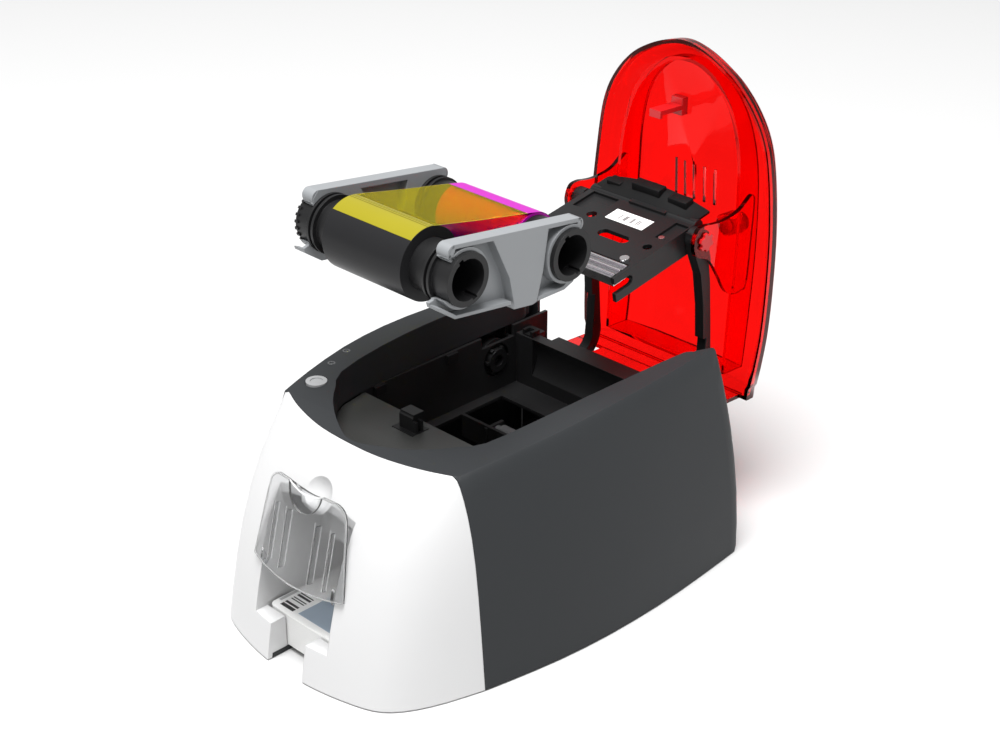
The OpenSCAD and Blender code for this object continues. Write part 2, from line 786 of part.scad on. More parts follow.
module head_frame() {
    color([0.2, 0.19, 0.19]) head_place() difference() {
        union() {
            block(-38, 38, 0, 53, 0, 2.4);
            rod_x(-38, 38, 0, 2.6, 4);
            pair() block(35.6, 38, 2, 68, 0, 9);
            pair() block(35.6, 38, 56, 68, 0, 3.6);
            pair() block(35.6, 38, 8, 68, 8, 14.6);
            block(-36, 36, 48, 53, 0, 9);
            block(-8, 18, -2.6, 4, -1.6, 6);
        }
        pair() block(35, 39, 57, 70, 3.8, 9.6);
        pair() translate([35, 57, 6.7]) rotate([0, 90, 0]) cylinder(h = 4, r = 2.9);
        block(-34, -15, 4, 13, -1, 1.6);
        block(-34, -27, 4, 22, -1, 1.6);
        block(28, 37, 6, 24, -1, 1.6);
        translate([0, 0, -1]) linear_extrude(height = 5) {
            translate([1.5, 35.2]) circle(r = 3.5);
            translate([1.5, 31.7]) square([14, 7]);
            translate([15.5, 35.2]) circle(r = 3.5);
        }
        rod_z(31.5, 34, -1, 4, 2.7);
        rod_z(-17.6, 24, -1, 4, 3);
        rod_x(-50, 50, pivot_s, pivot_t, 2 + shaft_gap);
        rod_z(-30, 50.5, -1, 12, 1.3);
        rod_z(30, 50.5, -1, 12, 1.3);
    }
}

module head_pivots() {
    color([0.8, 0.05, 0.05]) head_place() pair() {
        rod_x(34, 49.2, pivot_s, pivot_t, 2);
        difference() {
            rod_x(47.6, 49.2, pivot_s, pivot_t, 5.2);
            for (a = [0:60:300]) translate([47, pivot_s, pivot_t]) rotate([a, 0, 0])
                rod_x(0, 3, 5.4, 0, 1.5);
        }
    }
}

module thermal_bar() {
    color([0.75, 0.75, 0.76]) head_place() difference() {
        block(-35.4, 35.4, 53, 66.4, 1.2, 6.4);
        for (s = [56.6, 61.2]) block(-36, 36, s, s + 1.4, 0, 2.4);
        for (s = rod_places) rod_x(-36, 36, s, 0.6, 0.9);
    }
}

module head_rods() {
    color([0.85, 0.85, 0.86]) head_place() for (s = rod_places)
        rod_x(-35.2, 35.2, s, 0.6, 0.9);
}

module head_label() {
    color([0.97, 0.97, 0.97]) head_place() block(-9, 17.6, 12.2, 22.8, -0.2, 0);
}

module head_springs() {
    color([0.8, 0.1, 0.08]) head_place() pair() translate([24, 26, 2.4]) difference() {
        rotate_extrude() polygon(concat([[3.6, 0]],
            [for (k = [0:6]) each [[6, k * 1.8], [5.2, k * 1.8 + 0.9]]], [[5.2, 12.6], [3.6, 12.6]]));
    }
}

module head_screws() {
    color([0.8, 0.8, 0.8]) head_place() {
        for (x = [-30, 30]) {
            rod_z(x, 50.5, -1.2, 9, 1.3);
            rod_z(x, 50.5, -1.3, 0, 2.6);
        }
        rod_z(30.4, 21.4, 0.7, 1.6, 1.7);
    }
}

// ---- Ribbon cassette ----

module cassette_place() {
    translate([0, cassette_y, cassette_z]) rotate([-cassette_tilt, 0, 0]) children();
}

module web_outline() {
    difference() {
        polygon([[-1.6, -4], [1, 0], [87, 0], [88.4, -1.5], [88.4, -4.5], [85, -6.2], [85, -29],
                 [88.2, -30.4], [87, -33], [81, -36.2], [63, -38.6], [58.7, -40], [46, -40],
                 [43, -37.2], [6, -37.2], [-5, -31.4], [-6, -29], [-3, -28], [0, -8], [-1.6, -7]]);
        translate([supply_u, supply_w]) circle(r = hub_r + 0.08);
        translate([takeup_u, takeup_w]) circle(r = hub_r + 0.08);
        translate([supply_u - 20, supply_w - 9.5]) square([20, 19]);
        translate([takeup_u, takeup_w - 9]) square([20, 18]);
    }
}

module web_pockets() {
    difference() {
        polygon([[-12, -6.6], [1, -6.6], [2.4, -2.2], [85.6, -2.2], [85.6, -4.8], [100, -4.8],
                 [100, -29.4], [85.4, -30.2], [80, -34.4], [62.6, -36.8], [58, -60], [47, -60],
                 [43.4, -35.4], [6.6, -35.4], [-2.6, -30.4], [-12, -28.4]]);
        translate([supply_u, supply_w]) circle(r = hub_r + 1.7);
        translate([takeup_u, takeup_w]) circle(r = hub_r + 1.7);
        polygon([[25, 1], [64.8, 1], [64, -23.2], [58.7, -60], [46, -60], [46, -38], [40.6, -23]]);
    }
}

module handle_half() {
    translate([handle_inner, 0, 0]) rotate([90, 0, 90]) difference() {
        linear_extrude(height = handle_outer - handle_inner) web_outline();
        translate([0, 0, 2]) linear_extrude(height = 20) web_pockets();
        translate([0, 0, -1]) linear_extrude(height = 6.4) polygon(tongue);
    }
}

module cassette_handle_right() {
    color([0.57, 0.58, 0.59]) cassette_place() handle_half();
}

module cassette_handle_left() {
    color([0.57, 0.58, 0.59]) cassette_place() difference() {
        mirror([1, 0, 0]) handle_half();
        block(-far, -handle_outer + 1.6, 30, 58, -14, -4);
    }
}

module spool(u, w, flange_r, toothed) {
    web = handle_inner - 0.05;
    tip = handle_outer + 2.4;
    difference() {
        union() {
            rod_x(-web + 5, web - 5, u, w, hub_r - 0.3);
            pair() {
                rod_x(web - 5, web - 3.4, u, w, flange_r);
                rod_x(web - 3.5, web - 1.6, u, w, hub_r - 1.4);
                rod_x(web - 1.6, web, u, w, flange_r);
                rod_x(web - 0.1, tip, u, w, hub_r);
            }
            if (toothed) for (a = [0:15:345]) translate([-tip, u, w]) rotate([a, 0, 0])
                block(0, tip - handle_outer - 0.1, -0.7, 0.7, hub_r - 0.4, hub_r + 0.8);
        }
        pair() rod_x(tip - 28, tip + 1, u, w, hub_bore);
        pair() for (a = [30, 210]) translate([tip - 8, u, w]) rotate([a, 0, 0])
            block(0, 9, -1.4, 1.4, hub_bore - 1, hub_bore + 1.4);
    }
}

module supply_spool() {
    color([0.1, 0.1, 0.1]) cassette_place() spool(supply_u, supply_w, 15.6, true);
}

module takeup_spool() {
    color([0.1, 0.1, 0.1]) cassette_place() spool(takeup_u, takeup_w, 14.6, false);
}

module coil(u, w, r) {
    difference() {
        rod_x(-ribbon_width / 2, ribbon_width / 2, u, w, r);
        rod_x(-far, far, u, w, hub_r - 0.3);
    }
}

module supply_roll() {
    color([0.25, 0.25, 0.26]) cassette_place() coil(supply_u, supply_w, roll_r);
}

module takeup_roll() {
    color([0.5, 0.1, 0.45]) cassette_place() coil(takeup_u, takeup_w, takeup_roll_r);
}

module ribbon_film() {
    gap = 0.35;
    ra = roll_r + gap;
    rb = takeup_roll_r + gap;
    du = takeup_u - supply_u;
    dw = takeup_w - supply_w;
    turn = atan2(dw, du) + asin((ra - rb) / norm([du, dw])) * -1;
    nu = -sin(turn);
    nw = cos(turn);
    a = [supply_u + ra * nu, supply_w + ra * nw];
    b = [takeup_u + rb * nu, takeup_w + rb * nw];
    color([0.9, 0.85, 0.2, 0.7]) cassette_place()
        translate([-ribbon_width / 2 + 1, 0, 0]) rotate([90, 0, 90])
            linear_extrude(height = ribbon_width - 2)
                polygon([a, b, b + 0.3 * [nu, nw], a + 0.3 * [nu, nw]]);
}

base_tray();
rubber_feet();
tray_screws();
side_housing();
front_cover();
rear_panel();
bay_chassis();
latch_catch();
bay_clips();
drive_coupler();
power_button();
indicator_lenses();
hopper_cover();
hopper_pins();
card_well();
card_stack();
top_card();
roller_frame();
feed_roller();
platen_roller();
guide_roller();
feed_gear();
platen_gear();
motor_pinion();
feed_motor();
circuit_board();
power_socket();
data_socket();
lid_shell();
lid_hook();
lid_arms();
hinge_pins();
head_frame();
head_pivots();
thermal_bar();
head_rods();
head_label();
head_springs();
head_screws();
cassette_handle_right();
cassette_handle_left();
supply_spool();
supply_roll();
takeup_spool();
takeup_roll();
ribbon_film();
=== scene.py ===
"""Desktop card printer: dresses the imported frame, lights it and sets the camera.

Every piece is in metres, in the frame's own place, and rides on one of its bodies.
"""

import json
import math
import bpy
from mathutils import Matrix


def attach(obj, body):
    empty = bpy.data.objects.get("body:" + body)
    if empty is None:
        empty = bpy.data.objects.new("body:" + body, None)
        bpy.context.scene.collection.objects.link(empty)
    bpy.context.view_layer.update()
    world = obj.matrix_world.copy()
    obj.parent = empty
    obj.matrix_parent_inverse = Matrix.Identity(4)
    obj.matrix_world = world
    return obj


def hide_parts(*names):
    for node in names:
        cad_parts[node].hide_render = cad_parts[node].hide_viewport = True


bl_info = {
    "name": "Card Printer Dresser",
    "version": (1, 0, 0),
    "blender": (4, 5, 0),
    "location": "View3D > Sidebar > Card Printer",
    "description": "Finishes the card printer's frame and sets up its studio",
    "category": "Object",
}

import bmesh
import bpy
from mathutils import Matrix, Vector
from mathutils.bvhtree import BVHTree

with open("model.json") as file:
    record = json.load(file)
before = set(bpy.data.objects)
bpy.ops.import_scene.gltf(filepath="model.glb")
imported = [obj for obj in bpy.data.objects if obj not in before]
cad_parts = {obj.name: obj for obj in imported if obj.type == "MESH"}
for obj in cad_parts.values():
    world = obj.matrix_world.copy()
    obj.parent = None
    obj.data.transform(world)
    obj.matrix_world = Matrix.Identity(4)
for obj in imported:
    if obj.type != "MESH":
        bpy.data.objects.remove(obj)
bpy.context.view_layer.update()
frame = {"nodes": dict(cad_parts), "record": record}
MM = 0.001
BODY_OF = {n: b for b, names in frame["record"]["behaviour"]["bodies"].items() for n in names}
SLOT_OF = {s["node"]: s["material_slot"] for s in frame["record"]["subparts"]}
SIDES = ((-1, "left"), (1, "right"))
DRESSED_ELSEWHERE = {"ribbon_film", "top_card", "head_label", "lid_shell"}


# ---- Places of the moving groups, in mm ----


def turn_x(degrees):
    """A turn about X."""
    return Matrix.Rotation(math.radians(degrees), 4, "X")


def shift(x, y, z):
    """A shift given in mm."""
    return Matrix.Translation((x * MM, y * MM, z * MM))


HINGE = (0, 116.4, 74.6)
LID_PLACE = shift(*HINGE) @ turn_x(-93) @ shift(0, -HINGE[1], -HINGE[2])
HEAD_PLACE = LID_PLACE @ shift(0, 12, 92.1) @ turn_x(-77)
CASSETTE_PLACE = shift(0, -56, 228.2) @ turn_x(-7.5)
PANEL_PLACE = shift(0, -120.6, 51) @ turn_x(-14.2)
DECK_END = -18.45        # the deck's rear edge, y
SUPPLY = (10.0, -17.8, 18.8)   # centre and radius of the wound rolls, in the cassette's place
TAKEUP = (81.6, -17.8, 14.6)
PANEL_R = 132.0          # the hopper cover's bend
SOCKET_X, SOCKET_Y, SOCKET_R = 30, 23.5, 5.9


# ---- Node groups shared by the finishes ----


def new_group(name, inputs, outputs):
    """An empty node group with its sockets, and its input and output nodes."""
    group = bpy.data.node_groups.new(name, "ShaderNodeTree")
    for label, kind, value in inputs:
        socket = group.interface.new_socket(label, in_out="INPUT", socket_type=kind)
        if value is not None:
            socket.default_value = value
    for label, kind in outputs:
        group.interface.new_socket(label, in_out="OUTPUT", socket_type=kind)
    start = group.nodes.new("NodeGroupInput")
    end = group.nodes.new("NodeGroupOutput")
    return group, start, end


def add(tree, kind, **settings):
    """A new node; in_ settings are its sockets' values, the rest its own."""
    node = tree.nodes.new(kind)
    for key, value in settings.items():
        if key.startswith("in_"):
            node.inputs[key[3:].replace("_", " ")].default_value = value
        else:
            setattr(node, key, value)
    return node


def join(tree, source, target):
    tree.links.new(source, target)


def math_node(tree, operation, first, second):
    """The result of a maths node; each operand is a number or a socket."""
    node = add(tree, "ShaderNodeMath", operation=operation)
    for socket, value in zip(node.inputs, (first, second)):
        if isinstance(value, (int, float)):
            socket.default_value = value
        else:
            join(tree, value, socket)
    return node.outputs[0]


def between(tree, value, low, high):
    """One where the value lies between two numbers, else nought."""
    return math_node(tree, "MULTIPLY", math_node(tree, "GREATER_THAN", value, low),
                     math_node(tree, "LESS_THAN", value, high))


def area_mask(tree, x, y, box):
    """One inside the box (x0, x1, y0, y1), else nought."""
    return math_node(tree, "MULTIPLY", between(tree, x, box[0], box[1]),
                     between(tree, y, box[2], box[3]))


def moulded_grain_group():
    """Spark-eroded texture: a fine height and a slow mottle."""
    group, start, end = new_group(
        "MouldedGrain",
        [("Vector", "NodeSocketVector", None), ("Grain", "NodeSocketFloat", 2600.0),
         ("Mottle Size", "NodeSocketFloat", 22.0)],
        [("Height", "NodeSocketFloat"), ("Mottle", "NodeSocketFloat")],
    )
    fine = add(group, "ShaderNodeTexNoise", in_Detail=2.0, in_Roughness=0.55)
    pits = add(group, "ShaderNodeTexVoronoi", feature="F1")
    slow = add(group, "ShaderNodeTexNoise", in_Detail=4.0, in_Roughness=0.6)
    mix = add(group, "ShaderNodeMath", operation="MULTIPLY_ADD")
    mix.inputs[1].default_value = 0.45
    join(group, start.outputs["Vector"], fine.inputs["Vector"])
    join(group, start.outputs["Vector"], pits.inputs["Vector"])
    join(group, start.outputs["Vector"], slow.inputs["Vector"])
    join(group, start.outputs["Grain"], fine.inputs["Scale"])
    join(group, start.outputs["Grain"], pits.inputs["Scale"])
    join(group, start.outputs["Mottle Size"], slow.inputs["Scale"])
    join(group, pits.outputs["Distance"], mix.inputs[0])
    join(group, fine.outputs["Fac"], mix.inputs[2])
    join(group, mix.outputs[0], end.inputs["Height"])
    join(group, slow.outputs["Fac"], end.inputs["Mottle"])
    return group


def hairline_group():
    """Fine hairlines along X, as on drawn or brushed metal and on wound film."""
    group, start, end = new_group(
        "Hairlines",
        [("Vector", "NodeSocketVector", None), ("Density", "NodeSocketFloat", 900.0),
         ("Stretch", "NodeSocketFloat", 0.04)],
        [("Height", "NodeSocketFloat"), ("Streak", "NodeSocketFloat")],
    )
    split = add(group, "ShaderNodeSeparateXYZ")
    squeeze = add(group, "ShaderNodeMath", operation="MULTIPLY")
    together = add(group, "ShaderNodeCombineXYZ")
    lines = add(group, "ShaderNodeTexNoise", in_Detail=3.0, in_Roughness=0.7)
    broad = add(group, "ShaderNodeTexNoise", in_Detail=1.0, in_Scale=60.0)
    join(group, start.outputs["Vector"], split.inputs[0])
    join(group, split.outputs["X"], squeeze.inputs[0])
    join(group, start.outputs["Stretch"], squeeze.inputs[1])
    join(group, squeeze.outputs[0], together.inputs["X"])
    join(group, split.outputs["Y"], together.inputs["Y"])
    join(group, split.outputs["Z"], together.inputs["Z"])
    join(group, together.outputs[0], lines.inputs["Vector"])
    join(group, together.outputs[0], broad.inputs["Vector"])
    join(group, start.outputs["Density"], lines.inputs["Scale"])
    join(group, lines.outputs["Fac"], end.inputs["Height"])
    join(group, broad.outputs["Fac"], end.inputs["Streak"])
    return group


def smudge_group():
    """Handling marks: a soft mask of smears and specks for gloss surfaces."""
    group, start, end = new_group(
        "HandlingMarks",
        [("Vector", "NodeSocketVector", None), ("Size", "NodeSocketFloat", 35.0)],
        [("Mask", "NodeSocketFloat")],
    )
    smear = add(group, "ShaderNodeTexNoise", in_Detail=6.0, in_Roughness=0.65, in_Distortion=0.8)
    ramp = add(group, "ShaderNodeMapRange", interpolation_type="SMOOTHSTEP")
    ramp.inputs["From Min"].default_value = 0.48
    ramp.inputs["From Max"].default_value = 0.72
    join(group, start.outputs["Vector"], smear.inputs["Vector"])
    join(group, start.outputs["Size"], smear.inputs["Scale"])
    join(group, smear.outputs["Fac"], ramp.inputs["Value"])
    join(group, ramp.outputs["Result"], end.inputs["Mask"])
    return group


GROUPS = {}


def shared(name, maker):
    """The node group of that name, made once."""
    if name not in GROUPS:
        GROUPS[name] = maker()
    return GROUPS[name]


# ---- Finishes ----


def blank(name):
    """A new material with its Principled BSDF and an Object coordinate."""
    material = bpy.data.materials.new(name)
    material.use_nodes = True
    tree = material.node_tree
    shader = tree.nodes["Principled BSDF"]
    where = add(tree, "ShaderNodeTexCoord")
    return material, tree, shader, where.outputs["Object"]


def darker(colour, share):
    """The colour times share, with alpha."""
    return (*[c * share for c in colour[:3]], 1.0)


def moulded(name, colour, rough=0.5, depth=0.02, spread=0.06, soft_edge=0.3, specular=0.5,
            coat=0.0):
    """Injection-moulded plastic: grain in the bump, mottle in colour and roughness."""
    material, tree, shader, place = blank(name)
    group = add(tree, "ShaderNodeGroup", node_tree=shared("grain", moulded_grain_group))
    join(tree, place, group.inputs["Vector"])
    tone = add(tree, "ShaderNodeMix", data_type="RGBA")
    tone.inputs["A"].default_value = darker(colour, 1 - spread)
    tone.inputs["B"].default_value = darker(colour, 1 + spread)
    join(tree, group.outputs["Mottle"], tone.inputs["Factor"])
    join(tree, tone.outputs["Result"], shader.inputs["Base Color"])
    dull = add(tree, "ShaderNodeMapRange")
    dull.inputs["To Min"].default_value = max(rough - 0.06, 0.02)
    dull.inputs["To Max"].default_value = rough + 0.06
    join(tree, group.outputs["Mottle"], dull.inputs["Value"])
    join(tree, dull.outputs["Result"], shader.inputs["Roughness"])
    bump = add(tree, "ShaderNodeBump", in_Strength=0.35, in_Distance=depth * MM)
    join(tree, group.outputs["Height"], bump.inputs["Height"])
    edge = add(tree, "ShaderNodeBevel", samples=4, in_Radius=soft_edge * MM)
    join(tree, edge.outputs["Normal"], bump.inputs["Normal"])
    join(tree, bump.outputs["Normal"], shader.inputs["Normal"])
    shader.inputs["Specular IOR Level"].default_value = specular
    if coat:
        shader.inputs["Coat Weight"].default_value = coat
        shader.inputs["Coat Roughness"].default_value = 0.12
    return material


def tinted_clear(name, colour, rough, smear_rough, through=1.0, ior=1.49, gleam=(1, 1, 1)):
    """Clear tinted plastic with handling marks that dull its gloss."""
    material, tree, shader, place = blank(name)
    marks = add(tree, "ShaderNodeGroup", node_tree=shared("smudge", smudge_group))
    join(tree, place, marks.inputs["Vector"])
    dull = add(tree, "ShaderNodeMapRange")
    dull.inputs["To Min"].default_value = rough
    dull.inputs["To Max"].default_value = smear_rough
    join(tree, marks.outputs["Mask"], dull.inputs["Value"])
    join(tree, dull.outputs["Result"], shader.inputs["Roughness"])
    tone = add(tree, "ShaderNodeMix", data_type="RGBA")
    tone.inputs["A"].default_value = darker(colour, 1.0)
    tone.inputs["B"].default_value = darker(colour, 0.96)
    join(tree, marks.outputs["Mask"], tone.inputs["Factor"])
    join(tree, tone.outputs["Result"], shader.inputs["Base Color"])
    shader.inputs["Transmission Weight"].default_value = through
    shader.inputs["IOR"].default_value = ior
    shader.inputs["Specular Tint"].default_value = (*gleam, 1.0)
    return material


def deck_and_shaded_bay(name, front, back, border_y):
    """Moulded plastic whose deck, in front of border_y in mm, is lighter than the bay; the bay's
    darker colour is painted shade in the recess.
    """
    material = moulded(name, back, 0.46, depth=0.02, soft_edge=0.4)
    tree = material.node_tree
    shader = tree.nodes["Principled BSDF"]
    shaded_bay = shader.inputs["Base Color"].links[0].from_socket
    place = tree.nodes["Texture Coordinate"].outputs["Object"]
    split = add(tree, "ShaderNodeSeparateXYZ")
    join(tree, place, split.inputs[0])
    deck = math_node(tree, "LESS_THAN", split.outputs["Y"], border_y * MM)
    mix = add(tree, "ShaderNodeMix", data_type="RGBA")
    join(tree, deck, mix.inputs["Factor"])
    join(tree, shaded_bay, mix.inputs["A"])
    mix.inputs["B"].default_value = (*front, 1.0)
    join(tree, mix.outputs["Result"], shader.inputs["Base Color"])
    return material


def metal(name, colour, rough, stretch=0.04):
    """Drawn or brushed metal: hairlines in colour, roughness and bump."""
    material, tree, shader, place = blank(name)
    lines = add(tree, "ShaderNodeGroup", node_tree=shared("hairline", hairline_group))
    lines.inputs["Stretch"].default_value = stretch
    join(tree, place, lines.inputs["Vector"])
    tone = add(tree, "ShaderNodeMix", data_type="RGBA")
    tone.inputs["A"].default_value = darker(colour, 0.85)
    tone.inputs["B"].default_value = darker(colour, 1.05)
    join(tree, lines.outputs["Streak"], tone.inputs["Factor"])
    join(tree, tone.outputs["Result"], shader.inputs["Base Color"])
    dull = add(tree, "ShaderNodeMapRange")
    dull.inputs["To Min"].default_value = rough
    dull.inputs["To Max"].default_value = rough + 0.14
    join(tree, lines.outputs["Height"], dull.inputs["Value"])
    join(tree, dull.outputs["Result"], shader.inputs["Roughness"])
    shader.inputs["Metallic"].default_value = 1.0
    edge = add(tree, "ShaderNodeBevel", samples=4, in_Radius=0.2 * MM)
    bump = add(tree, "ShaderNodeBump", in_Strength=0.15, in_Distance=0.01 * MM)
    join(tree, lines.outputs["Height"], bump.inputs["Height"])
    join(tree, edge.outputs["Normal"], bump.inputs["Normal"])
    join(tree, bump.outputs["Normal"], shader.inputs["Normal"])
    return material


def printed(name, areas, across, use_uv=False, bar=0.0008, share=0.5):
    """White stock with plain printed areas: (box, colour, barred); bars run across an axis."""
    base, rough = (0.86, 0.86, 0.85), 0.3
    material, tree, shader, place = blank(name)
    if use_uv:
        place = tree.nodes["Texture Coordinate"].outputs["UV"]
    split = add(tree, "ShaderNodeSeparateXYZ")
    join(tree, place, split.inputs[0])
    x, y = split.outputs["X"], split.outputs["Y"]
    run = x if across == "X" else y
    step = math_node(tree, "FLOOR", math_node(tree, "DIVIDE", run, bar), 0.0)
    pick = add(tree, "ShaderNodeTexWhiteNoise", noise_dimensions="1D")
    join(tree, step, pick.inputs["W"])
    bars = math_node(tree, "LESS_THAN", pick.outputs["Value"], share)
    colour = None
    for box, ink, barred in areas:
        mask = area_mask(tree, x, y, box)
        if barred:
            mask = math_node(tree, "MULTIPLY", mask, bars)
        mix = add(tree, "ShaderNodeMix", data_type="RGBA")
        mix.inputs["A"].default_value = (*base, 1.0)
        if colour is not None:
            join(tree, colour, mix.inputs["A"])
        mix.inputs["B"].default_value = (*ink, 1.0)
        join(tree, mask, mix.inputs["Factor"])
        colour = mix.outputs["Result"]
    join(tree, colour, shader.inputs["Base Color"])
    wear = add(tree, "ShaderNodeTexNoise", in_Scale=90.0, in_Detail=3.0)
    dull = add(tree, "ShaderNodeMapRange")
    dull.inputs["To Min"].default_value = rough - 0.05
    dull.inputs["To Max"].default_value = rough + 0.08
    join(tree, wear.outputs["Fac"], dull.inputs["Value"])
    join(tree, dull.outputs["Result"], shader.inputs["Roughness"])
    return material


def colour_option(name, description, default):
    """A colour that the user can set."""
    return bpy.props.FloatVectorProperty(name=name, description=description, subtype="COLOR",
                                         size=3, min=0.0, max=1.0, default=default)


class FinishSettings(bpy.types.PropertyGroup):
    shell: colour_option("HousingGrey", "Colour of the grey housing", (0.024, 0.026, 0.028))
    front: colour_option("Front", "Colour of the white front", (0.57, 0.57, 0.572))
    deck: colour_option("Deck", "Colour of the deck in front of the bay", (0.034, 0.035, 0.033))
    # The bay's colour, far darker than the deck's, is painted shade in the recessed bay
    bay: colour_option("Bay", "Colour of the ribbon bay", (0.009, 0.009, 0.0095))
    lid: colour_option("Lid", "Tint of the clear lid", (0.97, 0.006, 0.005))
    hopper: colour_option("Hopper", "Tint of the hopper cover", (0.82, 0.825, 0.83))
    handle: colour_option("Handles", "Colour of the cassette's handles", (0.235, 0.245, 0.255))
    film: colour_option("Film", "Tint of the unwound film", (0.88, 0.77, 0.0005))
    used_film: colour_option("Used film", "Colour of the take-up roll", (0.4, 0.005, 0.34))


def finishes():
    """Every finish by the record's material slot."""
    tint = bpy.context.scene.printer_finish
    return {
        "grey_plastic": moulded("HousingPlastic", tint.shell, 0.5, depth=0.03, soft_edge=0.5,
                                specular=0.2),
        "tray_plastic": moulded("TrayGrey", (0.02, 0.021, 0.022), 0.55, specular=0.3),
        "white_plastic": moulded("FrontWhite", tint.front, 0.32, depth=0.008, spread=0.01,
                                 soft_edge=0.7, coat=0.1),
        "black_plastic": moulded("SatinBlack", (0.009, 0.009, 0.0095), 0.4, depth=0.015,
                                  specular=0.3),
        # Behind DECK_END the bay gets its darker colour: painted shade in the recess
        "bay_plastic": deck_and_shaded_bay("DeckAndShadedBay", tint.deck, tint.bay, DECK_END),
        "red_clear": tinted_clear("LidRed", tint.lid, 0.02, 0.07, gleam=(1.0, 0.12, 0.1)),
        "red_plastic": moulded("RedSatin", (0.55, 0.01, 0.012), 0.3),
        "smoke_clear": tinted_clear("HopperSmoke", tint.hopper, 0.1, 0.22),
        "button_plastic": moulded("ButtonGrey", (0.3, 0.305, 0.31), 0.35),
        "handle_plastic": moulded("HandleGrey", tint.handle, 0.42, soft_edge=0.5),
        "lens_plastic": moulded("LensGrey", (0.07, 0.072, 0.075), 0.22),
        "card_plastic": moulded("CardWhite", (0.8, 0.8, 0.79), 0.25, depth=0.004, spread=0.01,
                                soft_edge=0.08),
        "foot_rubber": moulded("FootRubber", (0.015, 0.015, 0.015), 0.8, depth=0.05),
        "roller_rubber": moulded("RollerRubber", (0.02, 0.02, 0.021), 0.7, depth=0.05),
        "guide_rubber": moulded("GuideRubber", (0.07, 0.07, 0.072), 0.65, depth=0.05),
        "steel": metal("BrightSteel", (0.72, 0.72, 0.73), 0.2),
        "frame_steel": metal("PlatedSteel", (0.2, 0.2, 0.205), 0.4, stretch=1.0),
        "gear_plastic": moulded("GearNatural", (0.62, 0.62, 0.57), 0.45),
        "brass": metal("Brass", (0.72, 0.55, 0.25), 0.22),
        "motor_case": moulded("MotorCase", (0.06, 0.06, 0.062), 0.35),
        "board": moulded("BoardGreen", (0.01, 0.07, 0.03), 0.4),
        "socket_metal": metal("SocketShell", (0.72, 0.72, 0.73), 0.18),
        "head_alloy": metal("HeadAlloy", (0.7, 0.7, 0.71), 0.22),
        "label": moulded("LabelPaper", (0.7, 0.7, 0.69), 0.5, depth=0.004, soft_edge=0.02),
        "ribbon_dark": moulded("RibbonDark", (0.014, 0.014, 0.015), 0.34, depth=0.004,
                               specular=0.15),
        "ribbon_magenta": moulded("RibbonMagenta", tint.used_film, 0.3, depth=0.004, specular=0.1),
        "film": moulded("FilmOnRoll", (0.26, 0.225, 0.01), 0.3, depth=0.004, specular=0.25),
    }


FINISH = {}


def finish_for(slot_name):
    """The finish of a material slot; all finishes are made at the first call."""
    if not FINISH:
        FINISH.update(finishes())
    return FINISH[slot_name]


# ---- Pieces ----


def to_object(bm, name, crease):
    """Turns a bmesh into an object, smooth except where its faces turn by more than crease."""
    for face in bm.faces:
        face.smooth = True
    for edge in bm.edges:
        edge.smooth = len(edge.link_faces) == 2 and edge.calc_face_angle(0) < math.radians(crease)
    mesh = bpy.data.meshes.new(name)
    bm.to_mesh(mesh)
    bm.free()
    piece = bpy.data.objects.new(name, mesh)
    bpy.context.scene.collection.objects.link(piece)
    return piece


def finish_mesh(bm, name, place=None):
    """Turns a new bmesh into an object whose place is in its mesh."""
    bmesh.ops.remove_doubles(bm, verts=bm.verts, dist=1e-7)
    bmesh.ops.recalc_face_normals(bm, faces=bm.faces)
    if place is not None:
        bmesh.ops.transform(bm, matrix=place, verts=bm.verts)
    return to_object(bm, name, 30.0)


def tidy_copy(node):
    """A merged copy of a CAD node's mesh, which itself stays as it is."""
    bm = bmesh.new()
    bm.from_mesh(frame["nodes"][node].data)
    bmesh.ops.remove_doubles(bm, verts=bm.verts, dist=2e-6)
    bmesh.ops.dissolve_degenerate(bm, edges=bm.edges, dist=1e-6)
    bmesh.ops.dissolve_limit(bm, angle_limit=math.radians(0.3), verts=bm.verts, edges=bm.edges)
    return to_object(bm, f"{node}_skin", 28.0)


def settle(piece, body, slot_name, *nodes, material=None):
    """Gives a piece its finish and its body, and hides the CAD nodes that it stands for."""
    if not piece.data.materials:
        piece.data.materials.append(material or finish_for(slot_name))
    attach(piece, body)
    if nodes:
        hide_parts(*nodes)
    return piece


def dress(node, material=None):
    """Shows a CAD node by its copy, in its own finish or the one given."""
    return settle(tidy_copy(node), BODY_OF[node], SLOT_OF[node], node, material=material)


# ---- Shapes ----


def strip_along(path, span, thick, name, place):
    """A thin closed strip: its section follows path (u, w in mm) and it spans X in mm."""
    bm = bmesh.new()
    edge = bm.edges.new([bm.verts.new((x * MM, path[0][0] * MM, path[0][1] * MM)) for x in span])
    for u, w in path[1:]:
        grown = bmesh.ops.extrude_edge_only(bm, edges=[edge])["geom"]
        edge = next(e for e in grown if isinstance(e, bmesh.types.BMEdge))
        for vert in edge.verts:
            vert.co.yz = (u * MM, w * MM)
    bmesh.ops.recalc_face_normals(bm, faces=bm.faces)
    bmesh.ops.solidify(bm, geom=bm.faces[:], thickness=thick * MM)
    return finish_mesh(bm, name, place)


def arc(centre, radius, start, end, steps=14):
    """Points on a roll; the angle is from straight up, positive towards the take-up side."""
    points = []
    for k in range(steps + 1):
        a = math.radians(start + (end - start) * k / steps)
        points.append((centre[0] + radius * math.sin(a), centre[1] + radius * math.cos(a)))
    return points


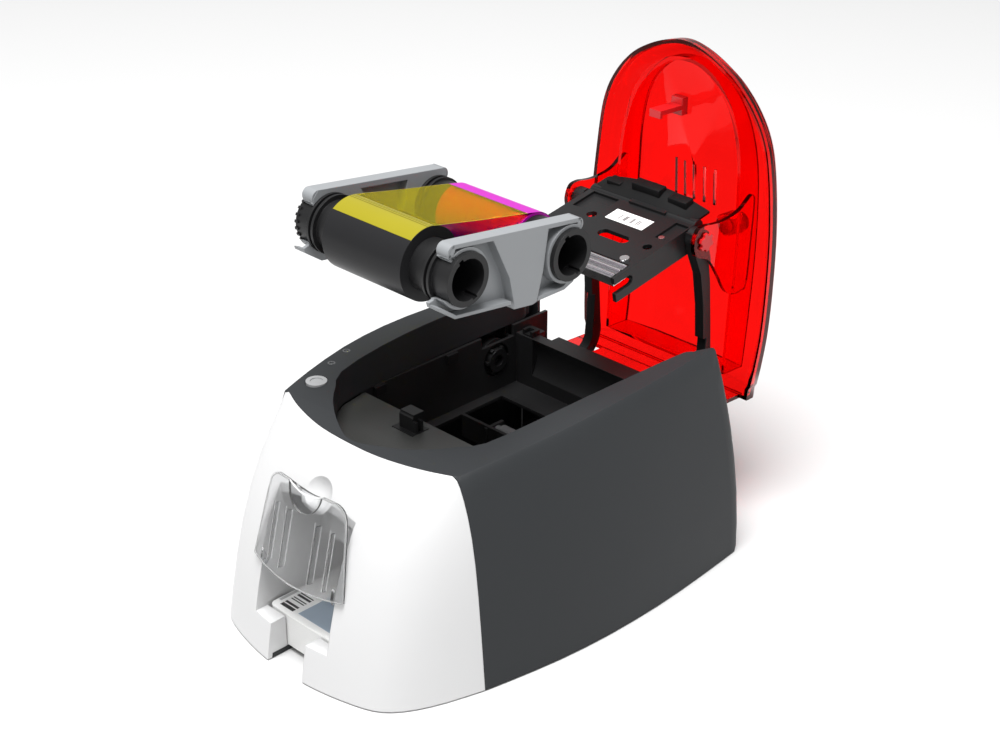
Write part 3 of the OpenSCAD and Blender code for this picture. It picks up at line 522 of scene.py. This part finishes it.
def bead(path, radius, name, place):
    """A round bead along a run of points in mm."""
    curve = bpy.data.curves.new(name, "CURVE")
    curve.dimensions = "3D"
    curve.bevel_depth = radius * MM
    curve.bevel_resolution = 2
    curve.use_fill_caps = True
    line = curve.splines.new("POLY")
    line.points.add(len(path) - 1)
    for point, where in zip(line.points, path):
        point.co = (*[c * MM for c in where], 1.0)
    holder = bpy.data.objects.new(name, curve)
    bpy.context.scene.collection.objects.link(holder)
    graph = bpy.context.evaluated_depsgraph_get()
    mesh = bpy.data.meshes.new_from_object(holder.evaluated_get(graph))
    bm = bmesh.new()
    bm.from_mesh(mesh)
    bpy.data.objects.remove(holder)
    bpy.data.curves.remove(curve)
    bpy.data.meshes.remove(mesh)
    return finish_mesh(bm, name, place)


def slab(name, x, y, z, place=None, round_by=0.0):
    """A block between the given limits in mm, with UVs over its X and Y."""
    bm = bmesh.new()
    bmesh.ops.create_cube(bm, size=1.0)
    size = ((x[1] - x[0]) * MM, (y[1] - y[0]) * MM, (z[1] - z[0]) * MM)
    centre = ((x[0] + x[1]) / 2 * MM, (y[0] + y[1]) / 2 * MM, (z[0] + z[1]) / 2 * MM)
    bmesh.ops.scale(bm, verts=bm.verts, vec=size)
    if round_by:
        bmesh.ops.bevel(bm, geom=bm.edges[:], offset=round_by * MM, offset_type="OFFSET",
                        segments=3, profile=0.5, affect="EDGES", material=-1)
    layer = bm.loops.layers.uv.new("Sheet")
    for face in bm.faces:
        for loop in face.loops:
            loop[layer].uv = (loop.vert.co.x / size[0] + 0.5, loop.vert.co.y / size[1] + 0.5)
    bmesh.ops.translate(bm, verts=bm.verts, vec=centre)
    return finish_mesh(bm, name, place)


def smooth_run(points, steps, closed=False):
    """Points on a smooth curve through the given ones; an open run starts on the centre line."""
    count = len(points)
    run = []
    for i in range(count if closed else count - 1):
        near, far = points[i], points[(i + 1) % count]
        before = points[i - 1] if i or closed else (-far[0], far[1])
        after = points[(i + 2) % count] if closed or i + 2 < count else far
        for k in range(steps):
            t = k / steps
            run.append(tuple(
                0.5 * (2 * b + (c - a) * t + (2 * a - 5 * b + 4 * c - d) * t * t
                       + (3 * b - a - 3 * c + d) * t ** 3)
                for a, b, c, d in zip(before, near, far, after)))
    return run if closed else run + [points[-1]]


def mirrored(half):
    """A closed outline from its right half, which starts and ends on the centre line."""
    return half + [(-x, y) for x, y in reversed(half[1:-1])]


def add_loop(bm, points):
    """A closed loop of edges through points in mm."""
    verts = [bm.verts.new([c * MM for c in point]) for point in points]
    return [bm.edges.new((verts[k], verts[(k + 1) % len(verts)])) for k in range(len(verts))]


def bridge_all(bm, loops, ring=False):
    """Bridges each loop to the next, and the last to the first for a ring."""
    pairs = list(zip(loops, loops[1:])) + ([(loops[-1], loops[0])] if ring else [])
    for first, second in pairs:
        bmesh.ops.bridge_loops(bm, edges=first + second)


def cut_by(piece, cutter):
    """Takes the cutter's volume out of the piece and removes the cutter."""
    tool = piece.modifiers.new("Cut", "BOOLEAN")
    tool.operation = "DIFFERENCE"
    tool.solver = "EXACT"
    tool.object = cutter
    graph = bpy.context.evaluated_depsgraph_get()
    mesh = bpy.data.meshes.new_from_object(piece.evaluated_get(graph))
    bm = bmesh.new()
    bm.from_mesh(mesh)
    name = piece.name
    bpy.data.meshes.remove(mesh)
    for spent in (piece.data, cutter.data):
        bpy.data.meshes.remove(spent)
    return finish_mesh(bm, name)


# ---- Housing and cassette ----


class PRINTER_OT_body(bpy.types.Operator):
    """Housing, front, bay and everything fixed inside"""
    bl_idname = "printer.body"
    bl_label = "Body"

    def execute(self, context):
        for node in frame["nodes"]:
            if node not in DRESSED_ELSEWHERE:
                dress(node)
        return {"FINISHED"}


HOPPER_SIDE = [(0, -2.2), (12, -1.7), (24, -0.4), (34, 1.5), (29.6, 38)]
HOPPER_LINES = (-21, -11, 11, 21)
CURL_SPAN = (44.2, 52)
CURL_R = 3.7
CURLS = (("front", (1.3, -3.7), -232), ("rear", (86, -3.5), 228))
FILM_FOLDS = (-9.0, -4.5, -1.0)


class TrimSettings(bpy.types.PropertyGroup):
    edge: bpy.props.FloatProperty(name="Edge", description="Radius of the hopper cover's rim",
                                  default=0.00045, min=0.0002, max=0.001, unit="LENGTH")
    line: bpy.props.FloatProperty(name="Line", description="Radius of the cover's raised lines",
                                  default=0.00028, min=0.0001, max=0.0006, unit="LENGTH")
    curl: bpy.props.FloatProperty(name="Curl", description="Thickness of the handles' curled ends",
                                  default=0.0015, min=0.0008, max=0.002, unit="LENGTH")


class RibbonSettings(bpy.types.PropertyGroup):
    width: bpy.props.FloatProperty(name="Film width", description="Width of the film",
                                   default=0.0558, min=0.04, max=0.056, unit="LENGTH")
    seam: bpy.props.FloatProperty(name="Seam", description="Used film before the take-up roll",
                                  default=0.0076, min=0.002, max=0.03, unit="LENGTH")


def panel_front(x, v, out=0.9):
    """A point on the hopper cover's curved sheet, in its own frame in mm."""
    return (x, PANEL_R - math.sqrt(PANEL_R ** 2 - x * x) + out, v)


def hopper_rim():
    """The cover's rim, (x, v) in mm: straight sides, round corners and the finger notch."""
    right = HOPPER_SIDE + [
        (20.6 + 8 * math.cos(math.radians(a)), 42 + 8 * math.sin(math.radians(a)))
        for a in range(15, 91, 15)]
    notch = [(27.5 * math.sin(math.radians(a)), 74.5 - 27.5 * math.cos(math.radians(a)))
             for a in range(27, -1, -9)]
    loop = right + notch + [(-x, v) for x, v in reversed(notch[:-1])]
    loop += [(-x, v) for x, v in reversed(right[1:])]
    inset, middle = 0.985, 23
    return [(x * inset, middle + (v - middle) * inset) for x, v in loop + loop[:1]]


class PRINTER_OT_trim(bpy.types.Operator):
    """Painted highlights along the hopper cover's rim and raised lines, and the rolled ends of the
    cassette's handles
    """
    bl_idname = "printer.trim"
    bl_label = "Trim"

    def execute(self, context):
        settings = context.scene.printer_trim
        # Beads on the cover's rim and raised lines, whiter and less clear than the cover: painted
        # highlights on its edges
        painted_rim_highlight = tinted_clear("HopperEdgeHighlight", (0.97, 0.97, 0.97), 0.08, 0.15, through=0.45)
        edge = [panel_front(x, v) for x, v in hopper_rim()]
        settle(bead(edge, settings.edge / MM, "hopper_edge_highlight", PANEL_PLACE), "hopper", "smoke_clear",
               material=painted_rim_highlight)
        for k, x in enumerate(HOPPER_LINES):
            run = [panel_front(x, 3, 0.3), panel_front(x, 36, 0.3)]
            line = bead(run, settings.line / MM, f"hopper_line_highlight_{k + 1}", PANEL_PLACE)
            settle(line, "hopper", "smoke_clear", material=painted_rim_highlight)
        for side, hand in SIDES:
            span = [side * x for x in CURL_SPAN]
            for end, centre, turn in CURLS:
                curl = strip_along(arc(centre, CURL_R, 0, turn, 20), span, settings.curl / MM,
                                   f"handle_curl_{end}_{hand}", CASSETTE_PLACE)
                settle(curl, "cassette", "handle_plastic")
        return {"FINISHED"}


class PRINTER_OT_ribbon(bpy.types.Operator):
    """Yellow film between the rolls, its start on the full roll and the used film below"""
    bl_idname = "printer.ribbon"
    bl_label = "Ribbon film"

    def execute(self, context):
        settings = context.scene.printer_ribbon
        ra, rb = SUPPLY[2] + 0.12, TAKEUP[2] + 0.12
        half = settings.width / MM / 2
        wide = (-half, half)
        lean = math.degrees(math.asin((ra - rb) / (TAKEUP[0] - SUPPLY[0])))
        span = [arc(SUPPLY, ra, lean, lean, 1)[0], arc(TAKEUP, rb, lean, lean, 1)[0]]
        share = 1 - settings.seam / MM / (TAKEUP[0] - SUPPLY[0])
        seam = tuple(a + (b - a) * share for a, b in zip(*span))
        middle = ((span[0][0] + seam[0]) / 2, (span[0][1] + seam[1]) / 2 - 0.25)
        web = strip_along([span[0], middle, seam], wide, 0.1, "film_web", CASSETTE_PLACE)
        settle(web, "cassette", "film", "ribbon_film",
               material=tinted_clear("FilmYellow", context.scene.printer_finish.film, 0.1, 0.18,
                                     through=0.93, ior=1.05, gleam=(1.0, 0.95, 0.1)))
        # Strips of a lighter yellow than the film along both its edges: painted highlight on the
        # edges
        painted_edge_highlight = moulded("FilmEdgeHighlight", (0.4, 0.34, 0.02), 0.25, depth=0.002, soft_edge=0.05)
        for side, hand in SIDES:
            edge = strip_along([span[0], middle, seam], (side * half, side * (half + 0.25)), 0.18,
                               f"film_edge_highlight_{hand}", CASSETTE_PLACE)
            settle(edge, "cassette", "film", material=painted_edge_highlight)
        used = strip_along([seam] + arc(TAKEUP, rb, lean, 62), (-half - 0.2, half + 0.2), 0.12,
                           "film_used", CASSETTE_PLACE)
        settle(used, "cassette", "ribbon_magenta")
        band = strip_along(arc(SUPPLY, ra, -44, lean), wide, 0.1, "film_on_roll", CASSETTE_PLACE)
        settle(band, "cassette", "film")
        # Darker copies of the film along the folds on the full roll: painted shade in the folds
        fold_shade = moulded("FilmFoldShade", (0.17, 0.145, 0.006), 0.25, depth=0.002, soft_edge=0.05)
        for k, start in enumerate(FILM_FOLDS):
            line = strip_along(arc(SUPPLY, ra + 0.1, start, start + 0.8, 2), wide, 0.05,
                               f"film_fold_shade_{k + 1}", CASSETTE_PLACE)
            settle(line, "cassette", "film", material=fold_shade)
        # The film below is a darker purple copy of the used film's magenta: painted shade under
        # the yellow web
        below = arc(SUPPLY, ra, 176, 180 - lean, 2) + arc(TAKEUP, rb, 180 - lean, 184, 2)
        under = strip_along(below, wide, 0.1, "film_below", CASSETTE_PLACE)
        settle(under, "cassette", "film",
               material=tinted_clear("FilmBelowShaded", (0.12, 0.008, 0.16), 0.12, 0.2, through=0.6,
                                     ior=1.12, gleam=(0.9, 0.3, 1.0)))
        return {"FINISHED"}


# ---- Lid and print head ----

LID_REAR_Y = 118.4
LID_HALF_WIDTH, LID_LENGTH = 66, 195     # the outline shrinks by these shares as it rises
RIM_GAP = 0.5
LID_HALF = [(0, -76.4), (13, -74), (26, -68.4), (37.8, -60.5), (48.8, -48.4), (56.8, -33.9),
            (61.2, -15.5), (64.8, 18.5), (66.2, 52), (66.2, 79.5), (64.6, 100)]
LID_REAR = [(63.4, 109.5), (62.1, 112), (62.1, LID_REAR_Y), (0, LID_REAR_Y)]
DOME = [(0, 0), (0.34, 0.3), (0.42, 1.4), (0.52, 2.4), (0.61, 3.6), (0.7, 5), (0.77, 6.8),
        (0.83, 8.8), (0.88, 11), (0.93, 14.8), (0.97, 19), (0.99, 23.5), (1, 28), (1, 37),
        (1, 47), (1, 57)]      # share of the rise, and how far in from the rim
SLOT_PITCH, SLOT_LENGTH, SLOT_MIDDLE = 7, 21.5, 8.25
RIDGE_FOOT, RIDGE_REAR = 119.0, 108.0
RIDGE_HALF = [(0, -65), (14, -62), (26, -53), (35, -40), (40.6, -22), (43, 0), (44, 40),
              (44, 74), (44, RIDGE_REAR)]
EAR_X, EAR_THICK = 45, 2.6
EAR = [(11.4, 81.2), (18.6, 78.6), (25.8, 81), (28.6, 87), (31.6, 93.2), (40.6, 100.6),
       (51.3, 107.9), (56, 113), (57.5, 119), (57, 124), (54, 128.4), (30, 129), (7, 129),
       (1.8, 127.4), (1.6, 125), (4.2, 121.4), (7.2, 117.2), (9.2, 112), (10.3, 106), (10.8, 99),
       (10.4, 93), (9.8, 87)]
SOCKET_FOOT, SOCKET_TOP = 126, 138.4
SKIRT_Y, SKIRT_STEP = (115.8, 118.2), 108.7
SKIRT = (((-57.2, 57.2), (SKIRT_STEP, 121)), ((-57.2, -47.2), (82.2, SKIRT_STEP)),
         ((-36.8, 36.8), (82.2, SKIRT_STEP)), ((47.2, 57.2), (82.2, SKIRT_STEP)))
HOOD_HALF_WIDTH, HOOD_DEPTH, HOOD_WALL = 37, 13, 1.6
HOOD_BLOCKS = ((-31, -21, 3.0), (-12, 8, 7.0), (14, 27, 5.2))
RIB_COUNT, RIB_PITCH, RIB_RADIUS, RIB_FOOT = 6, 1.7, 0.32, 126.4


class LidSettings(bpy.types.PropertyGroup):
    rise: bpy.props.FloatProperty(name="Dome rise", description="Rise of the lid above the rim",
                                  default=0.0185, min=0.012, max=0.0185, unit="LENGTH")
    wall: bpy.props.FloatProperty(name="Wall", description="Thickness of the lid's wall",
                                  default=0.0024, min=0.0015, max=0.003, unit="LENGTH")
    slot: bpy.props.FloatProperty(name="Slot", description="Width of the vents in the lid's top",
                                  default=0.0018, min=0.0008, max=0.003, unit="LENGTH")


class HeadSettings(bpy.types.PropertyGroup):
    rise: bpy.props.FloatProperty(name="Hood rise", description="Rise of the hood at its middle",
                                  default=0.0056, min=0.003, max=0.0065, unit="LENGTH")


def crown(y):
    """Height of the housing's rim at y, in mm."""
    if y < 31:
        return 121.4 - 6.6 * min(1.0, ((31 - y) / 97.5) ** 2)
    return 121.4 - 2.9 * ((y - 31) / 95) ** 2


def lid_level(outline, share, sink, wall, rise):
    """The lid's outline at a share of its rise, sunk in from the rim."""
    across, along = 1 - (sink + wall) / LID_HALF_WIDTH, 1 - (sink + wall) / LID_LENGTH
    return [(x * across, min(LID_REAR_Y - wall, HINGE[1] + (y - HINGE[1]) * along),
             crown(y) + RIM_GAP + rise * share - (wall if share else 0))
            for x, y in outline]


def make_dome(wall, rise, slot):
    """The lid's thin shell with its vents, and a tree for finding its height."""
    outline = mirrored(smooth_run(LID_HALF, 5) + LID_REAR)
    bm = bmesh.new()
    loops = [add_loop(bm, lid_level(outline, share, sink, 0, rise))
             for share, sink in [(1, LID_HALF_WIDTH)] + DOME[::-1]]
    loops += [add_loop(bm, lid_level(outline, share, sink, wall, rise))
              for share, sink in DOME + [(1, LID_HALF_WIDTH - wall)]]
    bridge_all(bm, loops)
    bmesh.ops.remove_doubles(bm, verts=bm.verts, dist=1e-6)
    tree = BVHTree.FromBMesh(bm)
    dome = finish_mesh(bm, "lid_dome")
    cutter = bmesh.new()
    for k in range(-2, 3):
        box = bmesh.ops.create_cube(cutter, size=1.0)["verts"]
        bmesh.ops.scale(cutter, verts=box, vec=(slot * MM, SLOT_LENGTH * MM, 30 * MM))
        bmesh.ops.translate(cutter, verts=box,
                            vec=(k * SLOT_PITCH * MM, SLOT_MIDDLE * MM, 138 * MM))
    dome = cut_by(dome, finish_mesh(cutter, "lid_slot_cutter"))
    dome.data.transform(LID_PLACE)
    return dome, tree


def make_ridge(tree):
    """The wall inside the lid, from its foot up into the dome."""
    bm = bmesh.new()
    loops = []
    for grow, top in ((1, False), (1, True), (-1, True), (-1, False)):
        half = [(x + grow * min(1, abs(x) / 10), y - (grow if y < 100 else 0))
                for x, y in smooth_run(RIDGE_HALF, 5)]
        half += [(20, RIDGE_REAR + grow), (0, RIDGE_REAR + grow)]
        points = []
        for x, y in mirrored(half):
            hit = tree.ray_cast(Vector((x, y, RIDGE_FOOT)) * MM, Vector((0, 0, 1)))[0]
            roof = hit.z / MM + 0.8 if hit else 130.0
            points.append((x, y, roof if top else RIDGE_FOOT))
        loops.append(add_loop(bm, points))
    bridge_all(bm, loops, ring=True)
    return finish_mesh(bm, "lid_ridge", LID_PLACE)


def make_ear(side, hand):
    """The ear that holds the print head's pivot."""
    bm = bmesh.new()
    edges = add_loop(bm, [(side * EAR_X, y, z) for y, z in smooth_run(EAR, 4, closed=True)])
    face = bmesh.ops.edgeloop_fill(bm, edges=edges)["faces"]
    grown = bmesh.ops.extrude_face_region(bm, geom=face)["geom"]
    bmesh.ops.translate(bm, verts=[v for v in grown if isinstance(v, bmesh.types.BMVert)],
                        vec=(side * EAR_THICK * MM, 0, 0))
    return finish_mesh(bm, f"lid_ear_{hand}", LID_PLACE)


def make_socket(side, hand):
    """The tube round a head spring."""
    bm = bmesh.new()
    outer, inner = SOCKET_R - 0.3, SOCKET_R - 1.4
    rings = [add_loop(bm, [(side * SOCKET_X + r * math.cos(math.tau * k / 40),
                            SOCKET_Y + r * math.sin(math.tau * k / 40), z) for k in range(40)])
             for r, z in ((outer, SOCKET_FOOT), (outer, SOCKET_TOP), (inner, SOCKET_TOP),
                          (inner, SOCKET_FOOT))]
    bridge_all(bm, rings, ring=True)
    return finish_mesh(bm, f"lid_socket_{hand}", LID_PLACE)


def make_ribs(side, hand):
    """Rounded ribs round a spring socket."""
    bm = bmesh.new()
    for k in range(RIB_COUNT):
        height = k * RIB_PITCH * MM
        ring = bmesh.ops.create_circle(bm, cap_ends=False, segments=10, radius=RIB_RADIUS * MM)
        ring = ring["verts"]
        bmesh.ops.rotate(bm, verts=ring, matrix=Matrix.Rotation(math.pi / 2, 3, "X"))
        bmesh.ops.translate(bm, verts=ring, vec=(SOCKET_R * MM, 0, height))
        edges = [e for e in bm.edges if all(v in set(ring) for v in e.verts)]
        bmesh.ops.spin(bm, geom=edges, axis=(0, 0, 1), cent=(0, 0, height), angle=math.tau,
                       steps=40, use_merge=True, dvec=(0, 0, 0))
    bmesh.ops.translate(bm, verts=bm.verts,
                        vec=(side * SOCKET_X * MM, SOCKET_Y * MM, RIB_FOOT * MM))
    return finish_mesh(bm, f"socket_ribs_{hand}", LID_PLACE)


class PRINTER_OT_lid(bpy.types.Operator):
    """Clear lid: domed shell, inner ridge, ears, spring sockets and hinge skirt"""
    bl_idname = "printer.lid"
    bl_label = "Lid"

    def execute(self, context):
        settings = context.scene.printer_lid
        dome, tree = make_dome(settings.wall / MM, settings.rise / MM, settings.slot / MM)
        settle(dome, "lid", "red_clear", "lid_shell")
        settle(make_ridge(tree), "lid", "red_clear")
        for side, hand in SIDES:
            settle(make_ear(side, hand), "lid", "red_clear")
            settle(make_socket(side, hand), "lid", "red_clear")
        for k, (x, z) in enumerate(SKIRT):
            settle(slab(f"lid_skirt_{k + 1}", x, SKIRT_Y, z, LID_PLACE), "lid", "red_clear")
        return {"FINISHED"}


class PRINTER_OT_head_details(bpy.types.Operator):
    """Hood behind the print head and the ribs on the lid's spring sockets"""
    bl_idname = "printer.head_details"
    bl_label = "Head details"

    def execute(self, context):
        settings = context.scene.printer_head
        bm = bmesh.new()
        bmesh.ops.create_grid(bm, x_segments=24, y_segments=6, size=1.0)
        for vert in bm.verts:
            back = (1 - vert.co.y) / 2
            rise = settings.rise / MM * (1 - vert.co.x ** 2) * math.sin(back * math.pi / 2)
            vert.co = Vector((vert.co.x * HOOD_HALF_WIDTH, 1.5 - HOOD_DEPTH * back,
                              -1.2 - rise)) * MM
        bmesh.ops.recalc_face_normals(bm, faces=bm.faces)
        bmesh.ops.solidify(bm, geom=bm.faces[:], thickness=HOOD_WALL * MM)
        hood_black = moulded("HoodBlack", (0.004, 0.004, 0.0042), 0.55, specular=0.15)
        settle(finish_mesh(bm, "head_hood", HEAD_PLACE), "head", "black_plastic",
               material=hood_black)
        for k, (x0, x1, rise) in enumerate(HOOD_BLOCKS):
            block = slab(f"hood_block_{k + 1}", (x0, x1), (-10.5, -3.5), (-1.6 - rise, 0.5),
                         HEAD_PLACE, round_by=0.5)
            settle(block, "head", "black_plastic", material=hood_black)
        for side, hand in SIDES:
            settle(make_ribs(side, hand), "lid", "red_clear")
        return {"FINISHED"}


class PRINTER_OT_print_surfaces(bpy.types.Operator):
    """The plain printed card and the head's barred label"""
    bl_idname = "printer.print_surfaces"
    bl_label = "Card and label"

    def execute(self, context):
        grey, ink, panel = (0.45, 0.45, 0.45), (0.03, 0.03, 0.03), (0.35, 0.42, 0.5)
        code = (-0.0225, -0.0125, -0.1105, -0.0915)
        picture = (-0.009, 0.016, -0.1095, -0.088)
        line_a = (-0.0265, -0.0245, -0.108, -0.094)
        dress("top_card", material=printed("CardFace", [(code, ink, True), (picture, panel, False),
                                                        (line_a, grey, False)], "Y"))
        label = slab("head_label_sheet", (-9, 17.6), (12.2, 22.8), (-0.2, 0), HEAD_PLACE)
        blocks = [((c - 0.045, c + 0.045, 0.3, 0.78), (0.2, 0.2, 0.2), True)
                  for c in (0.25, 0.42, 0.59, 0.76)]
        settle(label, "head", "label", "head_label",
               material=printed("LabelFace", blocks, "X", use_uv=True, bar=0.013, share=0.75))
        return {"FINISHED"}


# ---- Stage ----


KEY_PLACE, KEY_TARGET, KEY_SIZE = (0.35, -0.62, 2.9), (0, 0, 0.1), 1.9
CAMERA_PLACE = (0.6307, -0.6031, 0.5705)
CAMERA_AZIMUTH, CAMERA_ELEVATION = 45.04, 27.18


def aim(obj, target):
    """Turns an object's own -Z to the target."""
    obj.rotation_mode = "QUATERNION"
    obj.rotation_quaternion = (Vector(target) - obj.location).to_track_quat("-Z", "Y")


def add_light(name, place, target, size, watts):
    """A round soft light in metres and watts."""
    data = bpy.data.lights.new(name, "AREA")
    data.shape = "DISK"
    data.size = size
    data.energy = watts
    light = bpy.data.objects.new(name, data)
    light.location = place
    bpy.context.scene.collection.objects.link(light)
    aim(light, target)


def make_camera(azimuth, elevation, place, lens):
    """The scene's camera; azimuth is from -Y towards +X, both angles in degrees."""
    data = bpy.data.cameras.new("StudioCamera")
    data.lens = lens
    data.sensor_width = 36.0
    data.clip_start, data.clip_end = 0.05, 30.0
    camera = bpy.data.objects.new("StudioCamera", data)
    bpy.context.scene.collection.objects.link(camera)
    a, e = math.radians(azimuth), math.radians(elevation)
    back = Vector((math.sin(a) * math.cos(e), -math.cos(a) * math.cos(e), math.sin(e)))
    camera.location = place
    camera.rotation_mode = "QUATERNION"
    camera.rotation_quaternion = (-back).to_track_quat("-Z", "Y")
    bpy.context.scene.camera = camera


class StageSettings(bpy.types.PropertyGroup):
    floor_size: bpy.props.FloatProperty(name="Floor size", description="Width of the floor",
                                        default=9.0, min=2.0, unit="LENGTH")
    floor_colour: colour_option("Floor colour", "Colour of the pale floor", (0.56, 0.56, 0.56))
    key_power: bpy.props.FloatProperty(name="Key light", description="Power of the overhead light",
                                       default=165.0, min=0.0, unit="POWER")
    sky: bpy.props.FloatProperty(name="Sky", description="Brightness of the surrounding light",
                                 default=0.55, min=0.0, subtype="FACTOR")
    lens: bpy.props.FloatProperty(name="Lens", description="Focal length of the camera in mm",
                                  default=68.1, min=20.0, unit="CAMERA")


class PRINTER_OT_stage(bpy.types.Operator):
    """Pale floor, soft light and the camera"""
    bl_idname = "printer.stage"
    bl_label = "Stage"

    def execute(self, context):
        settings = context.scene.printer_stage
        scene = context.scene
        scene.view_settings.view_transform = "Standard"
        bm = bmesh.new()
        bmesh.ops.create_grid(bm, x_segments=2, y_segments=2, size=settings.floor_size / 2)
        bmesh.ops.translate(bm, verts=bm.verts, vec=(0, 0, -0.0003))
        mesh = bpy.data.meshes.new("StudioFloor")
        bm.to_mesh(mesh)
        bm.free()
        floor = bpy.data.objects.new("StudioFloor", mesh)
        scene.collection.objects.link(floor)
        paper, _, shader, _ = blank("FloorPaper")
        shader.inputs["Base Color"].default_value = (*settings.floor_colour, 1.0)
        shader.inputs["Roughness"].default_value = 0.9
        shader.inputs["Specular IOR Level"].default_value = 0.1
        mesh.materials.append(paper)
        world = bpy.data.worlds.new("StudioSky")
        world.use_nodes = True
        sky = world.node_tree.nodes["Background"]
        sky.inputs["Color"].default_value = (1.0, 1.0, 1.0, 1.0)
        sky.inputs["Strength"].default_value = settings.sky
        scene.world = world
        add_light("KeyLight", KEY_PLACE, KEY_TARGET, KEY_SIZE, settings.key_power)
        make_camera(CAMERA_AZIMUTH, CAMERA_ELEVATION, CAMERA_PLACE, settings.lens)
        return {"FINISHED"}


# ---- Panel and registration ----


class PRINTER_PT_panel(bpy.types.Panel):
    """Buttons for each group of pieces"""
    bl_idname = "PRINTER_PT_panel"
    bl_label = "Card Printer"
    bl_space_type = "VIEW_3D"
    bl_region_type = "UI"
    bl_category = "Card Printer"

    def draw(self, context):
        for operator in OPERATORS:
            self.layout.operator(operator.bl_idname)


OPERATORS = (PRINTER_OT_body, PRINTER_OT_ribbon, PRINTER_OT_trim, PRINTER_OT_lid,
             PRINTER_OT_head_details, PRINTER_OT_print_surfaces, PRINTER_OT_stage)
SETTINGS = {"printer_finish": FinishSettings, "printer_ribbon": RibbonSettings,
            "printer_trim": TrimSettings, "printer_lid": LidSettings,
            "printer_head": HeadSettings, "printer_stage": StageSettings}
CLASSES = (*SETTINGS.values(), *OPERATORS, PRINTER_PT_panel)


def register():
    for cls in CLASSES:
        bpy.utils.register_class(cls)
    for name, group in SETTINGS.items():
        setattr(bpy.types.Scene, name, bpy.props.PointerProperty(type=group))


def unregister():
    for name in SETTINGS:
        delattr(bpy.types.Scene, name)
    for cls in reversed(CLASSES):
        bpy.utils.unregister_class(cls)


def main():
    register()
    bpy.ops.printer.body()
    bpy.ops.printer.ribbon()
    bpy.ops.printer.trim()
    bpy.ops.printer.lid()
    bpy.ops.printer.head_details()
    bpy.ops.printer.print_surfaces()
    bpy.ops.printer.stage()


if __name__ == "__main__":
    main()
